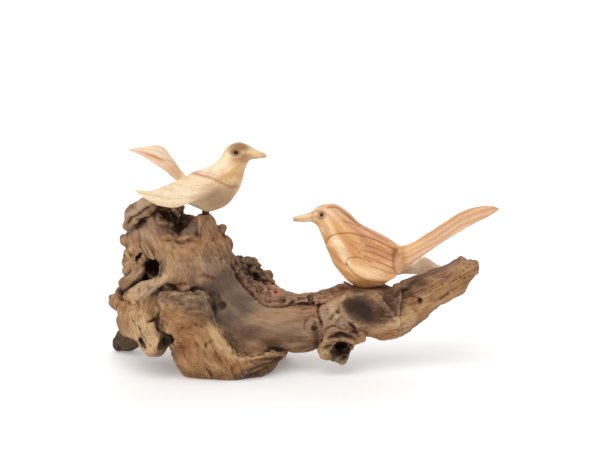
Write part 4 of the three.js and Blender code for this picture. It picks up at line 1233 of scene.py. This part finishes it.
UPPER_FAR_WING = blade([
    [(-46, 4, 120), (-46, 6, 114.5), 1.5],
    [(-53, 4, 124), (-52.5, 9.5, 114), 3],
    [(-62, 3.5, 124), (-61, 11.5, 110), 2.6],
    [(-69.5, 6, 119.5), (-70, 14, 107.5), 1.8],
    [(-76, 9, 115.5), (-77, 15.5, 108), 1.3],
    [(-83, 13, 112), (-83, 13.3, 111.6), 0.4],
])
LOWER_BODY = body([
    ((-4.5, 95.5), (-4.5, 95), 0.1),
    ((-3.5, 97), (-3.5, 94), 1.8),
    ((3, 98.5), (3, 93.5), 2.9),
    ((7, 100), (7.5, 93.5), 3.8),
    ((11.5, 103.5), (11, 90.5), 7),
    ((20.5, 105), (14, 83.5), 9),
    ((29, 100.5), (17.5, 74.5), 11),
    ((37.5, 92.5), (22.5, 64.5), 13),
    ((49, 86.5), (33.5, 53.5), 14.4),
    ((57.5, 81.5), (45.5, 52), 13),
    ((64.5, 75), (57.5, 58), 7.5),
    ((64.5, 67), (64.5, 66.5), 0.5),
])
LOWER_TAIL = blade([
    [(57.5, 2, 77.5), (53.5, -6, 62.5), 3],
    [(66.5, 3, 78), (60, -7, 62), 3],
    [(74, 4, 81.5), (68.5, -7, 68), 2.4],
    [(82.5, 4.5, 87), (79, -7, 75.5), 1.9],
    [(91.5, 5, 93), (90, -7, 83), 1.6],
    [(101, 5, 99), (100.5, -6.5, 89.5), 1.4],
    [(110.5, 4.5, 102), (111, -5, 95), 1.2],
    [(118.5, 2.5, 103), (118.5, -2.5, 98), 1],
    [(123.5, 0, 101.8), (123.5, 0, 101.2), 0.4],
])
LOWER_NEAR_WING = blade([
    [(16, -9.5, 84), (17, -10, 80), 1.5],
    [(21.5, -10, 87.5), (25, -14, 72), 2.5],
    [(31.5, -11, 88), (35.5, -14.5, 63), 3],
    [(43, -12.5, 85.5), (45.5, -14.3, 59.5), 3],
    [(54, -13.2, 80), (55.5, -13.6, 59.5), 2.2],
    [(61, -13, 74.5), (61.5, -13, 64), 1.2],
    [(64, -12.5, 69.5), (64, -12.5, 68.5), 0.4],
])
LOWER_FAR_WING = blade([
    [(50.5, 10, 73), (51.5, 11, 58.5), 3],
    [(58, 12, 69.5), (59.5, 13, 56), 2.2],
    [(66, 15, 64.5), (66, 15.5, 56), 1.6],
    [(72.5, 17, 64), (72.5, 17, 55.5), 1.3],
    [(76, 18.5, 66), (77, 18, 55), 1.2],
    [(80, 19.5, 66.5), (81, 19, 55.5), 1.1],
    [(84.5, 20, 63.5), (85, 19.5, 55.5), 1],
    [(88.5, 20.5, 61), (89, 20, 56), 0.9],
    [(94, 20.5, 59.3), (94, 20.5, 58.7), 0.4],
])

# Grain of the birds: along the body and the wings, and along the tail
UPPER_STREAMS = [
    [(-18, 0, 134), (-36, 0, 136), (-48, 0, 124), (-60, 0, 115), (-80, 0, 113), (-104, 0, 117)],
    [(-60, 0, 112), (-72, 0, 118), (-84, 0, 132), (-108, 0, 139)],
]
LOWER_STREAMS = [
    [(-6, 0, 95.5), (12, 0, 97), (26, 0, 86), (44, 0, 74), (62, 0, 66), (96, 0, 59)],
    [(44, 0, 74), (60, 0, 70), (84, 0, 81), (104, 0, 94), (126, 0, 102)],
]

# Carved lines of the birds: pixels, depth, width and how far the wood stands up on the line's right
UPPER_CUTS = {
    "fold of the tail": ([(130, 150), (145, 153), (157, 158), (168, 161), (177, 163.5)], 0.3, 0.6, 0.2),
    "mouth": ([(246, 153.5), (252, 156), (259, 157.8), (267, 157.3)], 0.3, 0.4, 0),
    "brow": ([(229.5, 151.5), (233, 149.8), (238, 149.2), (242, 150.5)], 0.35, 0.5, 0),
    "under the eye": ([(231.5, 154.8), (234.5, 156.6), (238.5, 156.2), (241, 154.5)], 0.3, 0.5, 0),
    "beak root": ([(247, 149), (245, 153), (247, 158)], 0.25, 0.6, 0),
}
LOWER_CUTS = {
    "top of the wing": ([(326.5, 244), (328, 239), (332, 235.8), (341, 233.8), (352, 233.5), (365, 236.5),
                         (378, 241), (389, 246.5), (397, 250.5)], 0.6, 0.7, 0.35),
    "top of the covert": ([(346.5, 265), (347, 261), (350, 258.3), (356, 257.5), (364, 259),
                           (372, 262.5)], 0.6, 0.6, 0.3),
    "foot of the covert": ([(394, 279.5), (387, 282.3), (377, 282.8), (367, 281), (359, 277.5), (353, 273),
                            (349, 268.5), (346.5, 264)], 0.5, 0.6, 0.3),
    "first feather": ([(366, 245.5), (376, 248.5), (385, 252), (394, 256)], 0.55, 0.55, 0.15),
    "second feather": ([(364, 251), (375, 254), (385, 258), (393, 261.5)], 0.55, 0.55, 0.15),
    "third feather": ([(364, 256.5), (375, 260.5), (385, 265), (393, 268.5)], 0.6, 0.55, 0.15),
    "fourth feather": ([(371, 266.5), (380, 269.5), (388, 272.5), (395, 274)], 0.5, 0.5, 0.15),
    "wing's end": ([(397, 250.5), (394, 257), (394, 267), (397, 274)], 0.6, 0.8, 0),
    "edge of the tail": ([(399, 270.5), (415, 261.5), (432, 250.5), (450, 239.5), (468, 230), (484, 220.5),
                          (495, 212.5)], 0.3, 0.5, 0.15),
    "crown": ([(327, 207.8), (331, 207), (336, 208.2), (342, 212.5), (348, 216.5),
               (356, 222.5)], 0.4, 0.5, 0),
    "nape": ([(343, 220.8), (351, 222.8), (361, 227), (372, 232.5)], 0.25, 0.5, 0),
    "mouth": ([(293, 219.8), (302, 219.8), (312, 219)], 0.25, 0.35, 0),
    "beak root": ([(312.5, 213), (311.5, 217), (313, 221.5)], 0.25, 0.6, 0),
}

# Colours of the birds: the colour, then the patch, in the order in which they are laid on
UPPER_COLOURS = {
    "wing": ("f5e4c6", 172, 195, 40, 14, 14, 0.9), "shoulder": ("efcba3", 200, 179, 15, 8, -20, 0.7),
    "back": ("fdebd2", 212, 168, 18, 8, 30, 0.8), "neck": ("f8e6c0", 226, 160, 7, 11, 25, 0.8),
    "throat": ("dcae7c", 238, 168, 7, 14, 20, 0.7), "gold band": ("d9a668", 229, 175.5, 11, 4.5, 12, 0.7),
    # The belly on the next line is painted darker as shade on the underside, under the wing
    "belly": ("9a7e60", 217, 198, 22, 11, 15, 0.9), "flank": ("cdb088", 233, 192, 8, 10, 40, 0.6),
    "crown": ("93653f", 240, 146.5, 10.5, 4.5, -5, 0.9), "cheek": ("a9764f", 242, 158, 8, 5, 0, 0.85),
    "upper beak": ("f3d5a5", 257, 152.5, 9, 3.2, -14, 0.8),
    "lower beak": ("cf9a6c", 254, 158.8, 9, 2, -4, 0.6), "beak tip": ("d7b48c", 265, 154, 3, 4, 0, 0.6),
    "tail": ("f8dfc8", 155, 155, 34, 11, -28, 0.9), "lower tail": ("eabb9a", 152, 158, 22, 4, -28, 0.5),
    "tail streak": ("d0905f", 154, 156.5, 9, 1.4, -22, 0.7),
    "tail root": ("d8a273", 175, 170, 8, 7, -45, 0.6),
    "eye shade": ("4a3226", 235.3, 151.8, 5.6, 3.4, -5, 0.9),
}
LOWER_COLOURS = {
    "head": ("edcba6", 328, 214, 17, 10, -8, 0.9), "throat": ("f4d6a4", 326, 229, 8, 8, 0, 0.8),
    "shoulder": ("e9b981", 345, 228, 14, 6, -20, 0.6), "back": ("deb08f", 368, 234, 28, 5, -28, 0.8),
    # The light on the wing is a painted highlight
    "painted highlight on the wing": ("fde9c8", 341, 249, 17, 5, -62, 0.85),
    "brown of the wing": ("d6a074", 364, 245, 17, 8, -15, 0.7),
    "covert": ("f8d8aa", 368, 271, 20, 7, -12, 0.8), "feathers": ("e0a68a", 381, 258, 12, 9, -15, 0.55),
    # The belly on the next line is painted dark brown as shade on the underside
    "belly": ("91602f", 366, 284, 18, 4.5, 0, 0.9), "chest": ("f0c085", 333, 256, 14, 5, -62, 0.5),
    "patch": ("8f5c37", 395, 256, 3.5, 7, 0, 0.85), "tail": ("dcb798", 448, 235, 58, 12, 31, 0.9),
    "tail, edge": ("f2d6be", 447, 245, 54, 3, 31, 0.7), "tail, root": ("f0cb92", 411, 245, 11, 6, 20, 0.7),
    "tail, tip": ("dcb898", 490, 211, 9, 6, 20, 0.6), "beak": ("ecd4ae", 303, 218, 11, 5, 0, 0.9),
    "beak, tip": ("cfb491", 294, 219, 3, 3, 0, 0.6),
    "eye shade": ("8c765f", 321.3, 214.8, 3.6, 4.6, 0, 0.8),
}
# Painted lines: the colour, pixels, width in millimetres and strength
UPPER_LINES = {
    "edge of the wing": ("b07048", [(189, 172), (200, 175), (212, 178.3), (222, 183), (231, 187), (236, 186)],
                         1.0, 0.75),
    "shade above it": ("c58a5c", [(196, 171.5), (208, 173), (220, 177.5), (231, 183)], 0.6, 0.4),
    "under the eye": ("fbf0dc", [(232.5, 155.8), (235, 157), (238.5, 156.6), (240.5, 155.4)], 0.35, 0.8),
}
LOWER_LINES = {
    "crown": ("9c6a4b", [(329, 206.3), (337, 207.5), (345, 213), (352, 219), (360, 225.5)], 0.55, 0.7),
    "nape": ("b5794f", [(344, 221.5), (352, 223.5), (361, 227.5), (374, 234), (388, 242)], 0.5, 0.6),
    "throat": ("c08a62", [(318, 222), (323, 227), (327, 233)], 0.4, 0.5),
}
# Where the wood of the birds is flecked
UPPER_FLECKS = {"near wing": (176, 192, 46, 18, 10, 0.7), "tail": (165, 163, 24, 13, -40, 0.5)}
LOWER_FLECKS = {"top of the wing": (372, 250, 24, 14, -20)}

UPPER_BIRD = {
    "lofts": [UPPER_BODY, UPPER_TAIL, UPPER_NEAR_WING, UPPER_FAR_WING], "streams": UPPER_STREAMS,
    "cuts": UPPER_CUTS, "eye": UPPER_EYE, "base": "eed2a6", "colours": UPPER_COLOURS, "lines": UPPER_LINES,
    "flecks": UPPER_FLECKS,
}
LOWER_BIRD = {
    "lofts": [LOWER_BODY, LOWER_TAIL, LOWER_NEAR_WING, LOWER_FAR_WING], "streams": LOWER_STREAMS,
    "cuts": LOWER_CUTS, "eye": LOWER_EYE, "base": "e6ae74", "colours": LOWER_COLOURS, "lines": LOWER_LINES,
    "flecks": LOWER_FLECKS,
}
SOCKET = {"rim": EYE_RADIUS + 0.9, "width": 0.6, "depth": 0.4}


def fused(name, lofts):
    """One skin round several lofts, as a fine even mesh."""
    points, faces, start = [], [], 0
    for ribs in lofts:
        more, corners = loft(ribs)
        points.append(more)
        faces += [tuple(n + start for n in face) for face in corners]
        start += len(more)
    piece = make_piece(name, np.vstack(points), faces)
    remesh = piece.modifiers.new("skin", "REMESH")
    remesh.mode, remesh.voxel_size, remesh.adaptivity = "VOXEL", BIRD_VOXEL * MM, 0
    evaluated = piece.evaluated_get(bpy.context.evaluated_depsgraph_get())
    mesh = bpy.data.meshes.new_from_object(evaluated)
    bpy.data.objects.remove(piece)
    co = np.zeros(len(mesh.vertices) * 3)
    mesh.vertices.foreach_get("co", co)
    quads = np.zeros(len(mesh.loops), int)
    mesh.loops.foreach_get("vertex_index", quads)
    return co.reshape(-1, 3) / MM - SHIFT, quads.reshape(-1, 4)


def shown(points, normal):
    """Where points show in the picture; those that face away take the place of their mirror image."""
    mirrored = points * [1, -1, 1] + [0, 2 * BIRD_PLANE, 0]
    near = (normal @ AHEAD < 0)[:, None]
    return np.where(near, pictured(points), pictured(mirrored))


def eye_distance(points, eye):
    """Distance to the eye on either side."""
    mirrored = points.copy()
    mirrored[:, 1] = BIRD_PLANE - np.abs(points[:, 1] - BIRD_PLANE)
    return np.linalg.norm(mirrored - np.array(eye), axis=1)


def carve_bird(name, bird):
    """A bird's skin with its carved lines, and the colours and grain that go with it."""
    points, faces = fused(name, bird["lofts"])
    points = relaxed(points, faces, 3, 0.5)
    normal = normals_of(points, faces)
    where = shown(points, normal)
    height = np.zeros(len(points))
    for pixels, depth, width, rise in bird["cuts"].values():
        gap, side = pictured_line(where, pixels)
        height -= depth * np.exp(-(gap / width) ** 2)
        height += rise * smooth_step(0, 0.8, -side) * np.exp(-(gap / 2.4) ** 2)
    rim_gap = eye_distance(points, bird["eye"]) - SOCKET["rim"]
    height -= SOCKET["depth"] * np.exp(-(rim_gap / SOCKET["width"]) ** 2)
    # deep marks where the carving is cut in; it sets painted shade in the cuts and round the eye socket
    deep = np.clip(-height / 0.6, 0, 1)
    height += 0.14 * noise(points / 6) + 0.05 * noise(points / 2.4)
    wobble = 0.12 * layered(points / 6, 2)
    layers = [(patch(where, wobble, *shape, soft=0.7), code) for code, *shape in bird["colours"].values()]
    for code, pixels, width, share in bird["lines"].values():
        gap, _ = pictured_line(where, pixels)
        layers.append((share * np.exp(-(gap / width) ** 2), code))
    tones = {
        "grain": grain_along(points, bird["streams"]) + [0, 4, 7],
        "paint": painted(bird["base"], layers),
        "deep": deep,
        "speckled": np.max([patch(where, 0, *shape) for shape in bird["flecks"].values()], axis=0),
    }
    return points + height[:, None] * normal, faces, tones


def upper_bird():
    points, faces, tones = carve_bird("upper_bird_skin", UPPER_BIRD)
    piece = make_piece("upper_bird_carved", points, faces, tones)
    look = bird_wood("pale_bird_wood", (1.03, 1.03, 1.03), (0.94, 0.9, 0.85), "b07c48")
    finish_piece(piece, look, "pale_bird_wood", "upper_bird")


def lower_bird():
    """The lower bird, flat where it sits, and with its far wing, pale wood, painted paler still as painted
    light on a wing that lies in shade.
    """
    points, faces, tones = carve_bird("lower_bird_skin", LOWER_BIRD)
    over_seat = np.abs(points[:, 0] - SEAT["x"]) < SEAT["long"] / 2 - 1
    points[:, 2] = np.where(over_seat, np.maximum(points[:, 2], SEAT["level"] + 0.3), points[:, 2])
    # Painted light: the far wing lies in shade, so its pale wood is painted paler still
    lit_far_wing = smooth_step(9, 13, points[:, 1]) * smooth_step(55, 62, points[:, 0])
    tones["paint"] += lit_far_wing[:, None] * (np.array(tint("fff0dc")) - tones["paint"])
    piece = make_piece("lower_bird_carved", points, faces, tones)
    look = bird_wood("golden_bird_wood", (1.05, 1.04, 1.03), (0.89, 0.8, 0.71), "94572c")
    finish_piece(piece, look, "golden_bird_wood", "lower_bird")


# Eyes and peg

def bead(name, eye, side, stretch, rings=17, sides=28):
    """A glossy bead set in its socket, a little longer than it is wide."""
    polar = (math.pi * np.arange(1, rings + 1) / (rings + 1))[:, None]
    angle = 2 * math.pi * np.arange(sides) / sides
    ball = np.stack([np.sin(polar) * np.cos(angle), np.cos(polar) + 0 * angle,
                     np.sin(polar) * np.sin(angle) * stretch], -1)
    points = np.vstack([ball.reshape(-1, 3), [0, 1, 0], [0, -1, 0]])
    centre = np.array([eye[0], BIRD_PLANE + side * abs(eye[1] - BIRD_PLANE), eye[2]])
    return make_piece(name, points * EYE_RADIUS + centre, tube_faces(rings, sides))


def eye_bead():
    r = Recipe("eye_bead")
    cloud = r.speckle(r.place(), 700, 2)
    base = r.mix(cloud, tint("060403"), tint("2a1a12"))
    return r.finish(Base_Color=base, Roughness=r.fit(cloud, 0.3, 0.7, 0.22, 0.34), Specular_IOR_Level=0.3)


def make_eyes():
    material = eye_bead()
    for bird, eye, stretch in (("upper", UPPER_EYE, 0.85), ("lower", LOWER_EYE, 1.12)):
        for place, side in (("near", -1), ("far", 1)):
            piece = bead(f"{bird}_bead_{place}", eye, side, stretch)
            finish_piece(piece, material, "eye_bead", f"{bird}_eye_{place}")


def make_peg(sides=40, rings=12):
    """A short whittled peg that tapers a little and is faceted round its side."""
    level = np.linspace(PEG["bottom"], PEG["top"], rings)[:, None]
    angle = np.linspace(0, 2 * math.pi, sides, endpoint=False)
    taper = PEG["taper"] * (level - PEG["bottom"]) / (PEG["top"] - PEG["bottom"])
    radius = PEG["radius"] * (1 - taper) * (1 - PEG["facets"] * np.abs(np.sin(3.5 * angle)))
    side = np.stack([PEG["x"] + radius * np.cos(angle), BIRD_PLANE + radius * np.sin(angle),
                     level + 0 * angle], -1)
    ends = [[PEG["x"], BIRD_PLANE, PEG["bottom"]], [PEG["x"], BIRD_PLANE, PEG["top"]]]
    piece = make_piece("whittled_peg", np.vstack([side.reshape(-1, 3), ends]), tube_faces(rings, sides))
    r = Recipe("dark_peg")
    streaks = r.speckle(r.scaled(r.place(), (1400, 1400, 120)), 1, 3)
    base = r.mix(streaks, tint("1d120c"), tint("4a2f20"))
    rough = r.fit(streaks, 0.3, 0.7, 0.6, 0.8)
    material = r.finish(Base_Color=base, Roughness=rough, Normal=r.bump(streaks, 0.4, 0.0002))
    finish_piece(piece, material, "dark_peg", "perch_peg")


def make_root():
    points, faces, tones = root_surface()
    piece = make_piece("rootwood_surface", points, faces, tones)
    finish_piece(piece, root_wood(), "root_wood", "rootwood")


# Studio, in metres: the paper, then each light's place, size and power

PAPER = {"reach": 3.0, "bend": 1.2, "height": 3.0, "half_width": 4.0, "steps": 24}
LIGHTS = {
    "key": ((-0.65, -0.85, 1.5), 1.9, 24), "fill": ((1.3, -0.9, 0.8), 1.4, 3),
    "back": ((0.3, 1.3, 1.5), 1.4, 6),
}
LIT_POINT = Vector((0, 0, 0.06))
SKY = 0.42


def make_stage():
    """A sheet of white paper that curves up behind the object, and glows as painted light, weakly near the
    object and more towards the back, which lightens the shadows on it.
    """
    reach, bend = PAPER["reach"], PAPER["bend"]
    profile = [(-reach, 0.0), (reach - bend, 0.0)]
    profile += [(reach - bend + bend * math.sin(a), bend - bend * math.cos(a))
                for a in np.linspace(0, math.pi / 2, PAPER["steps"])[1:]]
    profile.append((reach, PAPER["height"]))
    points = [(x, y, z) for x in (-PAPER["half_width"], PAPER["half_width"]) for y, z in profile]
    count = len(profile)
    faces = [(n, n + count, n + count + 1, n + 1) for n in range(count - 1)]
    mesh = bpy.data.meshes.new("floor")
    mesh.from_pydata(points, [], faces)
    mesh.shade_smooth()
    floor = placed("floor", mesh)
    r = Recipe("paper")
    place = r.place()
    base = r.mix(r.speckle(place, 3, 2), tint("f6f6f6"), tint("fafafa"))
    depth = r.node("ShaderNodeSeparateXYZ", {"Vector": place}, 1)
    # Painted light: the paper glows, weakly near the object and more towards the back
    glow = r.fit(depth, -0.2, 2.6, 0.12, 0.5)
    mesh.materials.append(r.finish(Base_Color=base, Roughness=0.6, Specular_IOR_Level=0.2,
                                   Emission_Color=tint("ffffff"), Emission_Strength=glow))


def make_light(name, place, size, power):
    data = bpy.data.lights.new(name, "AREA")
    data.shape, data.size, data.energy = "SQUARE", size, power
    light = placed(name, data)
    light.location = place
    light.rotation_euler = (LIT_POINT - Vector(place)).to_track_quat("-Z", "Y").to_euler()


def make_studio():
    make_stage()
    for name, (place, size, power) in LIGHTS.items():
        make_light(name, place, size, power)
    world = bpy.data.worlds.new("studio")
    bpy.context.scene.world = world
    world.use_nodes = True
    background = world.node_tree.nodes["Background"]
    background.inputs["Color"].default_value = tint("ffffff")
    background.inputs["Strength"].default_value = SKY
    bpy.context.scene.view_settings.view_transform = "Standard"


make_camera()
make_root()
upper_bird()
lower_bird()
make_eyes()
make_peg()
make_studio()
